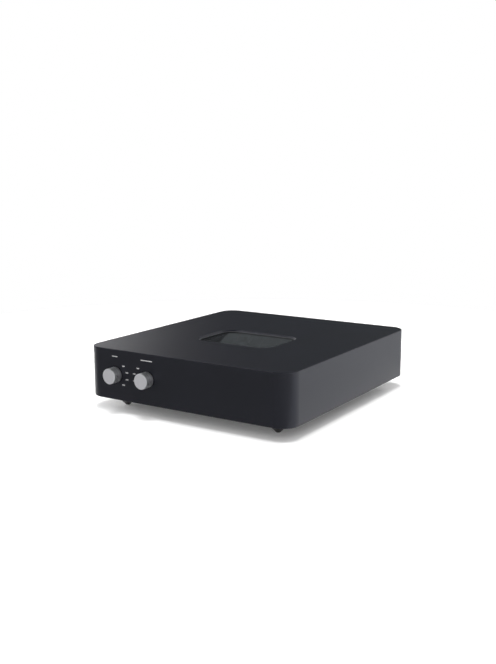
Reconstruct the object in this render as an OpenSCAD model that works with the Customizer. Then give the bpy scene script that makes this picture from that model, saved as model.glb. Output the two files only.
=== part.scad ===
// Phono preamplifier with a tube stage: a low case with rounded corners on four tapered feet,
// two four-way selector knobs, a glazed window over the tubes and a rear panel of sockets.
// Millimetres. X runs to the right seen from the front, Y to the rear and Z up.
// The origin is on the floor, under the middle of the case.

/* [Case] */
// Width of the case across the front
body_w = 360; // [356:1:368]
// Depth of the case from front to rear
body_d = 390; // [386:1:398]
// Height of the case above the underside of its base plate
body_h = 77; // [77:1:84]
// How far the walls reach below the base plate
skirt_h = 1; // [0:0.5:2]
// Radius of the four upright corners
corner_r = 26; // [24:1:30]
// Radius of the soft edge along the top and the bottom
edge_r = 1.2; // [0.6:0.2:2]
// Thickness of the four walls
wall_t = 5; // [4.6:0.2:5.4]
// Thickness of the top
top_t = 6; // [6:0.5:7]
// Thickness of the base plate
base_t = 3; // [2.5:0.5:3.5]

/* [Feet] */
// Height of the base plate above the floor
foot_h = 20; // [17:1:26]
// Diameter of a foot where it meets the base
foot_d = 22; // [20:1:26]
// Diameter of the narrow end of a foot
foot_tip_d = 8.4; // [8:0.2:10]
// Height of the tapered stretch of a foot
foot_taper_h = 7; // [5:0.5:9]
// Distance of a foot from the middle, across
foot_x = 137; // [130:1:140]
// Distance of a foot from the middle, front to rear
foot_y = 152; // [145:1:155]

/* [Window] */
// Width of the window at the surface
window_w = 141; // [136:1:146]
// Depth of the window at the surface, front to rear
window_d = 103; // [98:1:108]
// Corner radius of the window at the surface
window_r = 24; // [18:1:28]
// Width of the sloping edge round the window
window_bevel = 2.2; // [1.4:0.2:2.2]
// Place of the window's middle, front to rear
window_y = -20.5; // [-24:0.5:-16]
// Thickness of the ledge that the glass is pressed against
ledge_t = 2.4; // [2.2:0.2:3]
// Thickness of the seal on the glass
gasket_t = 0.2; // [0.2:0.1:0.5]

/* [Selectors] */
// Place of the gain knob, across
gain_x = -122.5; // [-126:0.5:-120]
// Place of the load knob, across
load_x = -62; // [-66:0.5:-58]
// Height of both knobs above the underside of the base plate
axis_h = 38.5; // [37:0.5:41]
// Diameter of a knob
knob_d = 24; // [23:1:30]
// Length of a knob
knob_l = 15; // [13.5:0.5:18]
// Gap between a knob and the front
knob_gap = 1; // [0.6:0.2:1.6]
// Direction of the gain knob's index line at rest, from +X towards +Z
gain_angle = 15; // [-45:30:45]
// Direction of the load knob's index line at rest, from +X towards +Z
load_angle = 165; // [135:30:225]
// Diameter of a switch wafer
wafer_d = 40; // [38:1:42]

/* [Tubes] */
// Diameter of a tube
tube_d = 21.2; // [20:0.2:22]
// Height of a tube from its seat to its tip
tube_h = 48; // [44:0.5:48.5]
// Half the distance between tubes, across
tube_dx = 30; // [26:1:34]
// Half the distance between tubes, front to rear
tube_dy = 24; // [20:1:28]

/* [Boards] */
// Height of the boards above the base plate
standoff_h = 6; // [5:0.5:6]
// Thickness of the boards
board_t = 1.6; // [1.2:0.4:2]

/* [Mains transformer] */
// Outer diameter of the ring transformer
ring_d = 96; // [88:1:98]
// Height of the ring transformer
ring_h = 40; // [34:1:42]
// Diameter of the hole through the ring transformer
ring_hole_d = 32; // [26:1:36]

/* [Rear panel] */
// Width of the rear panel's recess
panel_w = 296; // [290:1:300]
// Height of the rear panel's recess
panel_h = 60; // [58:1:62]
// Thickness of the rear panel
panel_t = 2.5; // [2.3:0.1:2.7]
// Distance between the two sockets of a pair
jack_pitch = 28; // [24:1:30]
// Place of the input pair's middle, across
input_x = -118; // [-120:1:-116]
// Place of the output pair's middle, across
output_x = -30; // [-36:1:-24]
// Place of the ground post, across
ground_x = -80; // [-84:1:-76]
// Place of the mains inlet, across
inlet_x = 118; // [114:1:120]
// Place of the mains switch, across
switch_x = 74; // [70:1:78]

/* [Hidden] */
$fn = 64;

// Running fit of a turning shaft, and the clearance of a part that only drops in
run_gap = 0.05;
fit_gap = 0.3;

base_top = foot_h + base_t;
case_top = foot_h + body_h;
wall_h = body_h + skirt_h;
roof = case_top - top_t;
axis_z = foot_h + axis_h;
inner_w = body_w - 2 * wall_t;
inner_d = body_d - 2 * wall_t;
inner_r = corner_r - wall_t;
side = [-1, 1];

// Case screws: posts near the corners, two on the side walls and one on the front wall
post_r = 6;
post_inset = 10;
posts = [
    for (x = side, y = side) [x * (inner_w / 2 - post_inset), y * (inner_d / 2 - post_inset)],
    for (x = side) [x * (inner_w / 2 - 5), 0],
    [0, -(inner_d / 2 - 5)]
];
screw_r = 1.25;
screw_head_r = 2.8;
screw_head_h = 1.6;
screw_clear_r = 1.7;
feet = [for (y = side, x = side) [x * foot_x, y * foot_y]];
foot_bore_r = 2.1;
pad_r = 3.2;
pad_h = 2;
pad_sunk = 1;

// Window: the glass lies in a rebate under the ledge and a frame presses it up
clear_w = window_w - 2 * window_bevel;
clear_d = window_d - 2 * window_bevel;
clear_r = window_r - window_bevel;
rebate = 4.5;
glass_top = case_top - ledge_t - gasket_t;
frame_t = 2;
frame_flange = 11;
frame_screws = [
    for (x = side, y = [-26, 26]) [x * (clear_w / 2 + rebate + 5.5), y + window_y],
    for (x = [-38, 38], y = side) [x, y * (clear_d / 2 + rebate + 5.5) + window_y]
];

// Selectors, from the front: bushing, index housing, two wafers on two tie rods
bushing_r = 4.9;
bushing_out = 3.6;
shaft_r = 3;
housing_r = 15;
housing_l = 9;
rod_pitch = 17;
wafer_t = 1.6;
wafer_hole_r = 11;
wafer_z = [-27, -42];
rotor_r = wafer_hole_r - fit_gap;
switch_end = -47;
clip_step = 30;
clip_angles = [15:clip_step:345];
knob_recess_r = 9;
knob_recess_l = 5.6;
grub_z = 10.3;
grub_r = 1.5;

// Boards
board_z = base_top + standoff_h;
board_top = board_z + board_t;
main_size = [222, 210];
main_at = [-49, 17];
power_size = [82, 160];
power_at = [113, 50];
board_inset = 6;
main_holes = [
    for (x = [-1, 0, 1], y = side)
        main_at + [x * (main_size[0] / 2 - board_inset), y * (main_size[1] / 2 - board_inset)]
];
power_holes = [
    for (x = side, y = side)
        power_at + [x * (power_size[0] / 2 - board_inset), y * (power_size[1] / 2 - board_inset)]
];
board_holes = concat(main_holes, power_holes);

// Tubes, two for each channel
tubes = [for (y = side, x = side) [x * tube_dx, window_y + y * tube_dy]];
socket_h = 8;
tube_seat = board_top + socket_h + fit_gap;
glass_wall = 1;
bulb_shoulder = 4.8;
pin_ring_r = 5.95;
pin_count = 9;
pin_step = 36;
pin_r = 0.5;

// Mains transformer
ring_at = [112, -95];
pad_t = 1.5;
ring_base = base_top + pad_t;
ring_round = 9;
bolt_r = 3;
clamp_t = 1.5;

// Rear panel
panel_open = 7;
panel_screws = [for (x = [-1, 0, 1], y = side) [x * (panel_w / 2 - 3.4), y * (panel_h / 2 - 3.5)]];
jack_xs = [for (pair = [input_x, output_x], s = side) pair + s * jack_pitch / 2];
jack_r = 4.15;
thread_r = 4;
core_r = 3.25;
contact_r = 2.1;
contact_bore_r = 1.6;
stud_r = 2;
stud_out = 16;

// Mains inlet with its fuse drawer, and the rocker switch beside it
inlet_body = [28, 31, 24];
inlet_flange = [50, 34, 2.5];
cavity = [24.2, 16.4];
cavity_y = 4.5;
cavity_depth = 16;
slot = [24.6, 7.6];
slot_y = -10.2;
drawer_l = 18;
fuse_r = 2.6;
fuse_l = 20;
inlet_screw_x = 20;
rocker_r = 8.4;
rocker_ridge = 5.2;
rocker_half_turn = 9;
rocker_w = 10.8;
rocker_pivot_z = -2.8;
trunnion_r = 1.2;

// ---------------------------------------------------------------- helpers

// A rectangle with round corners
module rounded_rect(w, d, r) {
    square([w - 2 * r, d], center = true);
    square([w, d - 2 * r], center = true);
    for (x = side, y = side)
        translate([x * (w / 2 - r), y * (d / 2 - r)])
            circle(r = r);
}

module rounded_plate(w, d, r, t) {
    linear_extrude(t)
        rounded_rect(w, d, r);
}

// A flat slot with round ends along X
module slot_outline(l, w) {
    square([l - w, w], center = true);
    for (x = side)
        translate([x * (l - w) / 2, 0])
            circle(d = w);
}

// Local frame of a selector: Z comes out of the front towards the user, Y is up
module at_front(x) {
    translate([x, -body_d / 2, axis_z])
        rotate([90, 0, 0])
            children();
}

// Local frame on the rear panel: Z comes out of the rear, Y is up
module at_rear(x) {
    translate([x, body_d / 2, axis_z])
        rotate([90, 0, 180])
            children();
}

module tube_of(outer_r, inner_r, h) {
    difference() {
        cylinder(r = outer_r, h = h);
        translate([0, 0, -1])
            cylinder(r = inner_r, h = h + 2);
    }
}

module hex_nut(corner_r, bore_r, h) {
    difference() {
        cylinder(r = corner_r, h = h, $fn = 6);
        translate([0, 0, -1])
            cylinder(r = bore_r, h = h + 2);
    }
}

// A countersunk screw, its head's flat face at z = 0 and its shank downwards
module countersunk_screw(l) {
    difference() {
        union() {
            translate([0, 0, -screw_head_h])
                cylinder(r1 = screw_r - run_gap, r2 = screw_head_r, h = screw_head_h);
            translate([0, 0, -l])
                cylinder(r = screw_r - run_gap, h = l - screw_head_h + 0.2);
        }
        translate([0, 0, -1])
            cylinder(r = 1.1, h = 2, $fn = 6);
    }
}

// The hole that a countersunk screw passes through
module countersunk_hole(t) {
    translate([0, 0, -t - 1])
        cylinder(r = screw_clear_r, h = t + 2);
    translate([0, 0, -screw_head_h - 0.1])
        cylinder(r1 = screw_clear_r, r2 = screw_head_r + 0.2, h = screw_head_h + 0.2);
}

// A pan-head screw, the underside of its head at z = 0 and its shank downwards
module pan_screw(l) {
    difference() {
        union() {
            translate([0, 0, -l])
                cylinder(r = screw_r - run_gap, h = l + 1);
            cylinder(r = screw_head_r, h = 1.4);
            translate([0, 0, 1.4])
                cylinder(r1 = screw_head_r, r2 = screw_head_r - 0.7, h = 0.6);
        }
        translate([0, 0, 0.9])
            cylinder(r = 1.1, h = 2, $fn = 6);
    }
}

// ---------------------------------------------------------------- case

// Section of the wall: distance from a corner's centre against height
module wall_section() {
    translate([inner_r, 0])
        square([wall_t - edge_r, wall_h]);
    translate([inner_r, edge_r])
        square([wall_t, wall_h - 2 * edge_r]);
    for (y = [edge_r, wall_h - edge_r])
        translate([corner_r - edge_r, y])
            circle(r = edge_r);
}

// The section carried along one wall and round the corner after it
module wall_run(run, across) {
    translate([run / 2 - corner_r, corner_r - across / 2, case_top - wall_h]) {
        rotate([90, 0, -90])
            linear_extrude(run - 2 * corner_r)
                wall_section();
        rotate(-90)
            rotate_extrude(angle = 90)
                wall_section();
    }
}

// Section of the space over the sloping edge: distance from a corner's centre against height
module bevel_section() {
    polygon([
        [clear_r - 1, -window_bevel],
        [clear_r, -window_bevel],
        [window_r, 0],
        [window_r, 1],
        [clear_r - 1, 1]
    ]);
}

// That space along one side of the window and round the corner after it
module bevel_run(run, across) {
    translate([run / 2 - window_r, window_r - across / 2, case_top]) {
        rotate([90, 0, -90])
            linear_extrude(run - 2 * window_r)
                bevel_section();
        rotate(-90)
            rotate_extrude(angle = 90)
                bevel_section();
    }
}

module chassis_shell() {
    color("#25252a")
    difference() {
        union() {
            wall_run(body_w, body_d);
            rotate(90)
                wall_run(body_d, body_w);
            rotate(180)
                wall_run(body_w, body_d);
            rotate(270)
                wall_run(body_d, body_w);
            translate([0, 0, roof])
                rounded_plate(inner_w + 2, inner_d + 2, inner_r + 1, top_t);
            for (p = posts)
                translate([p[0], p[1], base_top])
                    cylinder(r = post_r, h = roof - base_top + 1);
        }
        translate([0, window_y, roof - 1])
            rounded_plate(clear_w, clear_d, clear_r, top_t + 2);
        translate([0, window_y, 0])
            for (turn = [0, 180])
                rotate(turn) {
                    bevel_run(window_w, window_d);
                    rotate(90)
                        bevel_run(window_d, window_w);
                }
        translate([0, window_y, roof - 1])
            rounded_plate(
                clear_w + 2 * rebate, clear_d + 2 * rebate, clear_r + rebate, top_t - ledge_t + 1
            );
        for (p = frame_screws)
            translate([p[0], p[1], roof - 1])
                cylinder(r = screw_r, h = 4.5);
        for (p = posts)
            translate([p[0], p[1], base_top - 1])
                cylinder(r = screw_r, h = 13);
        for (x = [gain_x, load_x])
            at_front(x)
                translate([0, 0, -wall_t - 1])
                    cylinder(r = bushing_r + 0.2, h = wall_t + 2);
        at_rear(0) {
            translate([0, 0, -panel_t])
                rounded_plate(panel_w, panel_h, 4, panel_t + 1);
            translate([0, 0, -wall_t - 1])
                rounded_plate(panel_w - 2 * panel_open, panel_h - 2 * panel_open, 3, wall_t + 2);
            for (p = panel_screws)
                translate([p[0], p[1], -wall_t - 1])
                    cylinder(r = screw_r, h = wall_t + 1);
        }
    }
}

module vent_field(x, y, rows, columns) {
    for (row = [0:rows - 1], column = [0:columns - 1])
        translate([x + (column - (columns - 1) / 2) * 50, y + (row - (rows - 1) / 2) * 8])
            slot_outline(40, 3);
}

module base_plate() {
    color("#303034")
    difference() {
        translate([0, 0, foot_h])
            linear_extrude(base_t)
                difference() {
                    rounded_rect(
                        inner_w - 2 * fit_gap, inner_d - 2 * fit_gap, inner_r - fit_gap
                    );
                    vent_field(0, window_y, 8, 3);
                    vent_field(112, 40, 8, 1);
                    for (p = feet)
                        translate(p)
                            circle(r = foot_bore_r);
                    translate(ring_at)
                        circle(r = bolt_r + 0.1);
                }
        for (p = posts)
            translate([p[0], p[1], foot_h])
                mirror([0, 0, 1])
                    countersunk_hole(base_t);
        translate([ring_at[0], ring_at[1], foot_h - 0.1])
            cylinder(r1 = bolt_r + 3.1, r2 = bolt_r + 0.1, h = 2.6);
    }
}

module rear_panel() {
    color("#2b2b30")
    at_rear(0)
        translate([0, 0, -panel_t])
            difference() {
                rounded_plate(panel_w - 2 * fit_gap, panel_h - 2 * fit_gap, 4 - fit_gap, panel_t);
                for (p = panel_screws)
                    translate([p[0], p[1], panel_t])
                        countersunk_hole(panel_t);
                for (x = jack_xs)
                    translate([-x, 0, -1])
                        cylinder(r = 5, h = panel_t + 2);
                translate([-ground_x, 0, -1])
                    cylinder(r = stud_r + 0.1, h = panel_t + 2);
                translate([-inlet_x, 0, -1])
                    rounded_plate(inlet_body[0] + 0.6, inlet_body[1] + 0.6, 1, panel_t + 2);
                for (s = side)
                    translate([-inlet_x + s * inlet_screw_x, 0, -1])
                        cylinder(r = screw_r, h = panel_t + 2);
                translate([-switch_x, 0, -1])
                    rounded_plate(13.4, 19.6, 0.5, panel_t + 2);
            }
}

module window_glass() {
    color("#4a4f52", 0.6)
    translate([0, window_y, roof])
        rounded_plate(
            clear_w + 2 * rebate - 2 * fit_gap, clear_d + 2 * rebate - 2 * fit_gap,
            clear_r + rebate - fit_gap, glass_top - roof
        );
}

module window_gasket() {
    color("#1a1a1a")
    translate([0, window_y, glass_top])
        linear_extrude(gasket_t)
            difference() {
                rounded_rect(
                    clear_w + 2 * rebate - 2 * fit_gap, clear_d + 2 * rebate - 2 * fit_gap,
                    clear_r + rebate - fit_gap
                );
                rounded_rect(clear_w + 1, clear_d + 1, clear_r + 0.5);
            }
}

module window_frame() {
    color("#2a2a2a")
    translate([0, window_y, roof - frame_t])
        linear_extrude(frame_t)
            difference() {
                rounded_rect(
                    clear_w + 2 * (rebate + frame_flange), clear_d + 2 * (rebate + frame_flange),
                    clear_r + rebate + frame_flange
                );
                rounded_rect(clear_w - 1, clear_d - 1, clear_r - 0.5);
                for (p = frame_screws)
                    translate([p[0], p[1] - window_y])
                        circle(r = screw_clear_r);
            }
}

module case_screws() {
    color("#3a3a3e") {
        for (p = posts)
            translate([p[0], p[1], foot_h])
                mirror([0, 0, 1])
                    countersunk_screw(12);
        at_rear(0) {
            for (p = panel_screws)
                translate([p[0], p[1], 0])
                    countersunk_screw(4.8);
            for (s = side)
                translate([-inlet_x + s * inlet_screw_x, 0, inlet_flange[2]])
                    countersunk_screw(6.5);
        }
    }
}

// Screws that hold the boards and the window's frame
module pan_screws() {
    color("#8a8a8e") {
        for (p = board_holes)
            translate([p[0], p[1], board_top])
                pan_screw(6);
        for (p = frame_screws)
            translate([p[0], p[1], roof - frame_t])
                mirror([0, 0, 1])
                    pan_screw(5);
    }
}

// ---------------------------------------------------------------- feet

// A turned foot: a short cylinder that tapers to a narrow end, with a pad let into it
module foot(p) {
    color("#232326")
    translate([p[0], p[1], 0])
        difference() {
            rotate_extrude()
                polygon([
                    [0, pad_h - pad_sunk],
                    [foot_tip_d / 2, pad_h - pad_sunk],
                    [foot_d / 2, pad_h - pad_sunk + foot_taper_h],
                    [foot_d / 2, foot_h - 2],
                    [foot_d / 2 - 0.8, foot_h - 1.6],
                    [foot_d / 2 - 0.8, foot_h],
                    [0, foot_h]
                ]);
            cylinder(r = pad_r, h = pad_h);
            translate([0, 0, foot_h - 11])
                cylinder(r = foot_bore_r, h = 12);
        }
}

module foot_pads() {
    color("#141414")
    for (p = feet)
        translate([p[0], p[1], 0])
            cylinder(r = pad_r - run_gap, h = pad_h);
}

module foot_screws() {
    color("#8a8a8e")
    for (p = feet)
        translate([p[0], p[1], foot_h - 9.5])
            difference() {
                union() {
                    cylinder(r = foot_bore_r - run_gap, h = 9.5 + base_t + 0.5);
                    translate([0, 0, 9.5 + base_t])
                        cylinder(r = 3.6, h = 2.4);
                }
                translate([0, 0, 9.5 + base_t + 1.2])
                    cylinder(r = 1.5, h = 2, $fn = 6);
            }
}

// ---------------------------------------------------------------- selectors

// A turned knob, hollow behind to clear the nut, with a grub-screw hole and an index line
module knob(x, index_angle, grub_angle) {
    color("#a9a9b0")
    at_front(x)
        difference() {
            union() {
                translate([0, 0, knob_gap])
                    cylinder(r = knob_d / 2, h = knob_l - 0.5);
                translate([0, 0, knob_gap + knob_l - 0.5])
                    cylinder(r1 = knob_d / 2, r2 = knob_d / 2 - 0.5, h = 0.5);
            }
            translate([0, 0, knob_gap - 1])
                cylinder(r = knob_recess_r, h = knob_recess_l + 1);
            cylinder(r = shaft_r + run_gap, h = knob_gap + knob_l - 3);
            translate([0, 0, grub_z])
                rotate([0, 0, grub_angle])
                    rotate([0, 90, 0])
                        cylinder(r = grub_r, h = knob_d);
            rotate([0, 0, index_angle])
                translate([knob_d / 2 - 0.35, -0.4, knob_gap + knob_l - 5])
                    cube([1, 0.8, 6]);
        }
}

// A headless screw that bears on the shaft's flat
module grub_screw(x, grub_angle) {
    color("#404044")
    at_front(x)
        rotate([0, 0, grub_angle])
            translate([shaft_r - 0.6, 0, grub_z])
                rotate([0, 90, 0])
                    difference() {
                        cylinder(r = grub_r - run_gap, h = 6);
                        translate([0, 0, 4.4])
                            cylinder(r = 0.85, h = 2, $fn = 6);
                    }
}

module selector_shaft(x, grub_angle) {
    color("#c9c9cd")
    at_front(x)
        difference() {
            union() {
                translate([0, 0, switch_end])
                    cylinder(r = shaft_r, h = knob_gap + knob_l - 4 - switch_end);
                translate([0, 0, -wall_t - housing_l - 2.6])
                    cylinder(r = 4.6, h = 1);
            }
            rotate([0, 0, grub_angle])
                translate([shaft_r - 0.6, -shaft_r, knob_gap + knob_recess_l])
                    cube([2, 2 * shaft_r, knob_l]);
        }
}

// Two wafer discs on the shaft, each with a contact ring that has one tongue
module rotors(x, index_angle) {
    color("#c8b070")
    at_front(x)
        for (z = wafer_z)
            translate([0, 0, z])
                difference() {
                    union() {
                        cylinder(r = rotor_r, h = wafer_t);
                        translate([0, 0, -2.4])
                            cylinder(r = 5.2, h = 2.4 + wafer_t);
                        translate([0, 0, wafer_t])
                            cylinder(r = 7.6, h = 0.4);
                        rotate([0, 0, index_angle])
                            translate([6, -1.4, wafer_t])
                                cube([4.2, 2.8, 0.4]);
                    }
                    translate([0, 0, -4])
                        cylinder(r = shaft_r, h = 8);
                }
}

// The housing of the click stop, with the threaded bushing that passes through the front
module index_housing(x) {
    color("#8f9094")
    at_front(x)
        difference() {
            union() {
                translate([0, 0, -wall_t - 1])
                    cylinder(r = bushing_r, h = wall_t + 1 + bushing_out);
                translate([0, 0, -wall_t - housing_l])
                    cylinder(r = housing_r, h = housing_l);
                translate([0, 0, -wall_t - housing_l])
                    linear_extrude(2.5)
                        rotate(90)
                            slot_outline(2 * rod_pitch + 9, 9);
            }
            translate([0, 0, -wall_t - housing_l - 1])
                cylinder(r = shaft_r + run_gap, h = housing_l + wall_t + bushing_out + 2);
            for (y = side)
                translate([0, y * rod_pitch, -wall_t - housing_l - 1])
                    cylinder(r = 1.3, h = 5);
        }
}

// The fixed part of each wafer: a ring with a large hole for the rotor
module selector_wafers() {
    color("#b08a4a")
    for (x = [gain_x, load_x])
        at_front(x)
            for (z = wafer_z)
                translate([0, 0, z])
                    linear_extrude(wafer_t)
                        difference() {
                            circle(d = wafer_d);
                            circle(r = wafer_hole_r);
                            for (y = side)
                                translate([0, y * rod_pitch])
                                    circle(r = 1.3);
                        }
}

// One contact: a foot on the wafer, a tongue over the rotor and a solder lug outside
module contact_clip() {
    translate([12, -1.5, 0])
        cube([wafer_d / 2 - 12.4, 3, 1]);
    translate([8.4, -1, 0.8])
        cube([5, 2, 0.5]);
    difference() {
        translate([wafer_d / 2 - 1, -1.1, 0])
            cube([4.2, 2.2, 0.5]);
        translate([wafer_d / 2 + 2, 0, -1])
            cylinder(r = 0.6, h = 3);
    }
}

module selector_contacts() {
    color("#d8b25a")
    for (x = [gain_x, load_x], z = wafer_z, a = clip_angles)
        at_front(x)
            translate([0, 0, z + wafer_t])
                rotate([0, 0, a])
                    contact_clip();
}

// Two rods through each switch, with spacers that hold the wafers apart and a nut at the end
module selector_tie_rods() {
    rear_of_housing = -wall_t - housing_l;
    color("#c4c4c8")
    for (x = [gain_x, load_x], y = side)
        at_front(x)
            translate([0, y * rod_pitch, 0]) {
                translate([0, 0, switch_end + 0.5])
                    cylinder(r = 1.25, h = rear_of_housing - switch_end + 1.5);
                translate([0, 0, wafer_z[0] + wafer_t])
                    cylinder(r = 2.2, h = rear_of_housing - wafer_z[0] - wafer_t);
                translate([0, 0, wafer_z[1] + wafer_t])
                    cylinder(r = 2.2, h = wafer_z[0] - wafer_z[1] - wafer_t);
                translate([0, 0, wafer_z[1] - 2])
                    cylinder(r = 2.6, h = 2, $fn = 6);
            }
}

// Nuts and washers on the panels: selector bushings, sockets and ground post
module panel_nuts() {
    color("#b9b9bf") {
        for (x = [gain_x, load_x])
            at_front(x) {
                tube_of(7.5, bushing_r + run_gap, 0.8);
                translate([0, 0, 0.8])
                    hex_nut(8.1, bushing_r + run_gap, 2.4);
            }
        for (x = jack_xs)
            at_rear(x)
                translate([0, 0, -panel_t - 3.5])
                    hex_nut(6.35, thread_r + run_gap, 2.5);
        at_rear(ground_x)
            translate([0, 0, -panel_t - 2.6])
                hex_nut(4, stud_r + run_gap, 2.6);
    }
}

// ---------------------------------------------------------------- tubes

// Outline of a tube's bulb, from its flat seat to its round shoulder
module bulb_profile(r, low, high, shoulder) {
    translate([0, low])
        square([r, high - low - shoulder]);
    translate([0, low])
        square([r - shoulder, high - low]);
    translate([r - shoulder, high - shoulder])
        circle(r = shoulder);
}

module right_half(size) {
    intersection() {
        children();
        translate([0, -1])
            square([size, 2 * size]);
    }
}

module tube_glass(p) {
    bulb_h = tube_h - 6;
    bulb_r = tube_d / 2;
    color("#dfe8ea", 0.35)
    translate([p[0], p[1], tube_seat])
        difference() {
            union() {
                rotate_extrude()
                    bulb_profile(bulb_r, 0, bulb_h, bulb_shoulder);
                translate([0, 0, bulb_h - 0.5])
                    cylinder(r1 = 2.6, r2 = 1.3, h = 5.2);
                translate([0, 0, bulb_h + 4.7])
                    sphere(r = 1.3);
            }
            rotate_extrude()
                bulb_profile(bulb_r - glass_wall, 2, bulb_h - glass_wall, bulb_shoulder - glass_wall);
            for (k = [0:pin_count - 1])
                rotate([0, 0, (k + 0.5) * pin_step])
                    translate([pin_ring_r, 0, -1])
                        cylinder(r = pin_r + run_gap, h = 4);
        }
}

// Pins, stem wires, two mica discs, two anodes with fins, cathodes and the getter ring
module electrode_set() {
    low_mica = 8;
    high_mica = 30;
    for (k = [0:pin_count - 1])
        rotate([0, 0, (k + 0.5) * pin_step])
            translate([pin_ring_r, 0, -6.5])
                cylinder(r = pin_r, h = 6.5 + low_mica + 0.2);
    for (z = [low_mica, high_mica])
        translate([0, 0, z])
            cylinder(r = tube_d / 2 - glass_wall - 0.5, h = 0.5);
    for (x = side)
        translate([x * 4.2, 0, 0]) {
            translate([0, 0, low_mica + 0.4])
                linear_extrude(high_mica - low_mica)
                    difference() {
                        union() {
                            rounded_rect(6.4, 9, 2);
                            square([0.6, 13.6], center = true);
                        }
                        rounded_rect(5.6, 8.2, 1.6);
                    }
            translate([0, 0, low_mica - 1])
                cylinder(r = 0.8, h = high_mica - low_mica + 3);
            for (y = side)
                translate([0, y * 6.4, low_mica - 1])
                    cylinder(r = 0.5, h = high_mica - low_mica + 3);
        }
    translate([0, 0, high_mica + 0.2])
        cylinder(r = 0.4, h = 7);
    translate([2.8, 0, high_mica + 7.2])
        rotate_extrude()
            translate([2.8, 0])
                circle(r = 0.5);
}

module tube_electrodes() {
    color("#6d6e70")
    for (p = tubes)
        translate([p[0], p[1], tube_seat])
            electrode_set();
}

module tube_sockets() {
    color("#e8e4d8")
    for (p = tubes)
        translate([p[0], p[1], board_top])
            difference() {
                union() {
                    cylinder(r = 10.2, h = socket_h);
                    cylinder(r = 11.6, h = 2);
                }
                translate([0, 0, -1])
                    cylinder(r = 2, h = socket_h + 2);
                for (k = [0:pin_count - 1])
                    rotate([0, 0, (k + 0.5) * pin_step])
                        translate([pin_ring_r, 0, 1])
                            cylinder(r = pin_r + 0.15, h = socket_h);
            }
}

// ---------------------------------------------------------------- boards

module board(at, size, holes) {
    translate([0, 0, board_z])
        linear_extrude(board_t)
            difference() {
                translate(at)
                    rounded_rect(size[0], size[1], 3);
                for (p = holes)
                    translate(p)
                        circle(r = screw_clear_r);
            }
}

module main_board() {
    color("#1e3a2a")
    board(main_at, main_size, main_holes);
}

module power_board() {
    color("#1e3a2a")
    board(power_at, power_size, power_holes);
}

module board_standoffs() {
    color("#c0b070")
    for (p = board_holes)
        translate([p[0], p[1], base_top])
            tube_of(3.2, screw_r, standoff_h);
}

// A film capacitor that lies on the board along X, with a lead bent down at each end
module film_capacitor(r, l) {
    translate([-l / 2, 0, r])
        rotate([0, 90, 0])
            cylinder(r = r, h = l);
    for (x = side)
        translate([x * (l / 2 + 2), 0, 0]) {
            cylinder(r = 0.5, h = r + 0.5);
            translate([-x * 1.25, 0, r])
                cube([3.5, 1, 1], center = true);
        }
}

input_caps = [for (x = [-112, -88], y = [-48, 8]) [x, y]];
output_caps = [[-16, 62], [-16, 92]];

module coupling_capacitors() {
    color("#c9a227") {
        for (p = input_caps)
            translate([p[0], p[1], board_top])
                rotate([0, 0, 90])
                    film_capacitor(9, 38);
        for (p = output_caps)
            translate([p[0], p[1], board_top])
                film_capacitor(11, 46);
    }
}

// A can with a groove near its rim and a vent cross pressed in its top
module filter_capacitor(r, h) {
    difference() {
        cylinder(r = r, h = h);
        translate([0, 0, 3.4])
            difference() {
                cylinder(r = r + 1, h = 1.2);
                translate([0, 0, -1])
                    cylinder(r = r - 0.6, h = 4);
            }
        for (a = [0, 90])
            rotate([0, 0, a])
                translate([-r * 0.6, -0.4, h - 0.4])
                    cube([r * 1.2, 0.8, 1]);
    }
}

power_caps = [for (x = [87, 111], y = [2, 30]) [x, y]];
local_caps = [[44, 62], [44, 88]];

module filter_capacitors() {
    color("#26262c") {
        for (p = power_caps)
            translate([p[0], p[1], board_top])
                filter_capacitor(11, 38);
        for (p = local_caps)
            translate([p[0], p[1], board_top])
                filter_capacitor(9, 30);
    }
}

heat_sink_ys = [-4, 66];
heat_sink_x = 131;
fin_count = 7;
fin_pitch = 7;

// An extruded heat sink with its fins side by side and its flat back to -X
module heat_sinks() {
    color("#2b2b2e")
    for (y = heat_sink_ys)
        translate([heat_sink_x, y, board_top])
            linear_extrude(34) {
                square([3, (fin_count - 1) * fin_pitch + 1.6]);
                for (k = [0:fin_count - 1])
                    translate([2, k * fin_pitch])
                        square([16, 1.6]);
            }
}

// A power regulator against each heat sink: body, metal tab and three legs
module regulators() {
    color("#1c1c1e")
    for (y = heat_sink_ys)
        translate([heat_sink_x, y + 21.8, board_top]) {
            translate([-4.4, -5, 6])
                cube([3.1, 10, 9]);
            translate([-1.3, -5, 6])
                cube([1.3, 10, 15.4]);
            for (leg = [-1:1])
                translate([-3, leg * 2.54 - 0.4, 0])
                    cube([0.5, 0.8, 6.5]);
        }
}

step_up_cans = [[-138, 50], [-138, 88]];

// Shielded step-up transformers for low-output cartridges: a drawn can with a rolled foot
module step_up_transformers() {
    color("#9a9a9e")
    for (p = step_up_cans)
        translate([p[0], p[1], board_top])
            rotate_extrude()
                right_half(60)
                    union() {
                        bulb_profile(15, 0, 34, 3);
                        square([16.2, 1.4]);
                    }
}

// ---------------------------------------------------------------- mains transformer

module mains_transformer() {
    half = (ring_d - ring_hole_d) / 2;
    color("#7a3326")
    translate([ring_at[0], ring_at[1], ring_base])
        rotate_extrude()
            translate([ring_hole_d / 2 + half / 2, ring_h / 2])
                rounded_rect(half, ring_h, ring_round);
}

module transformer_pads() {
    color("#18181a")
    for (z = [base_top, ring_base + ring_h])
        translate([ring_at[0], ring_at[1], z])
            tube_of(ring_d / 2 - ring_round, bolt_r + run_gap, pad_t);
}

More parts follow.
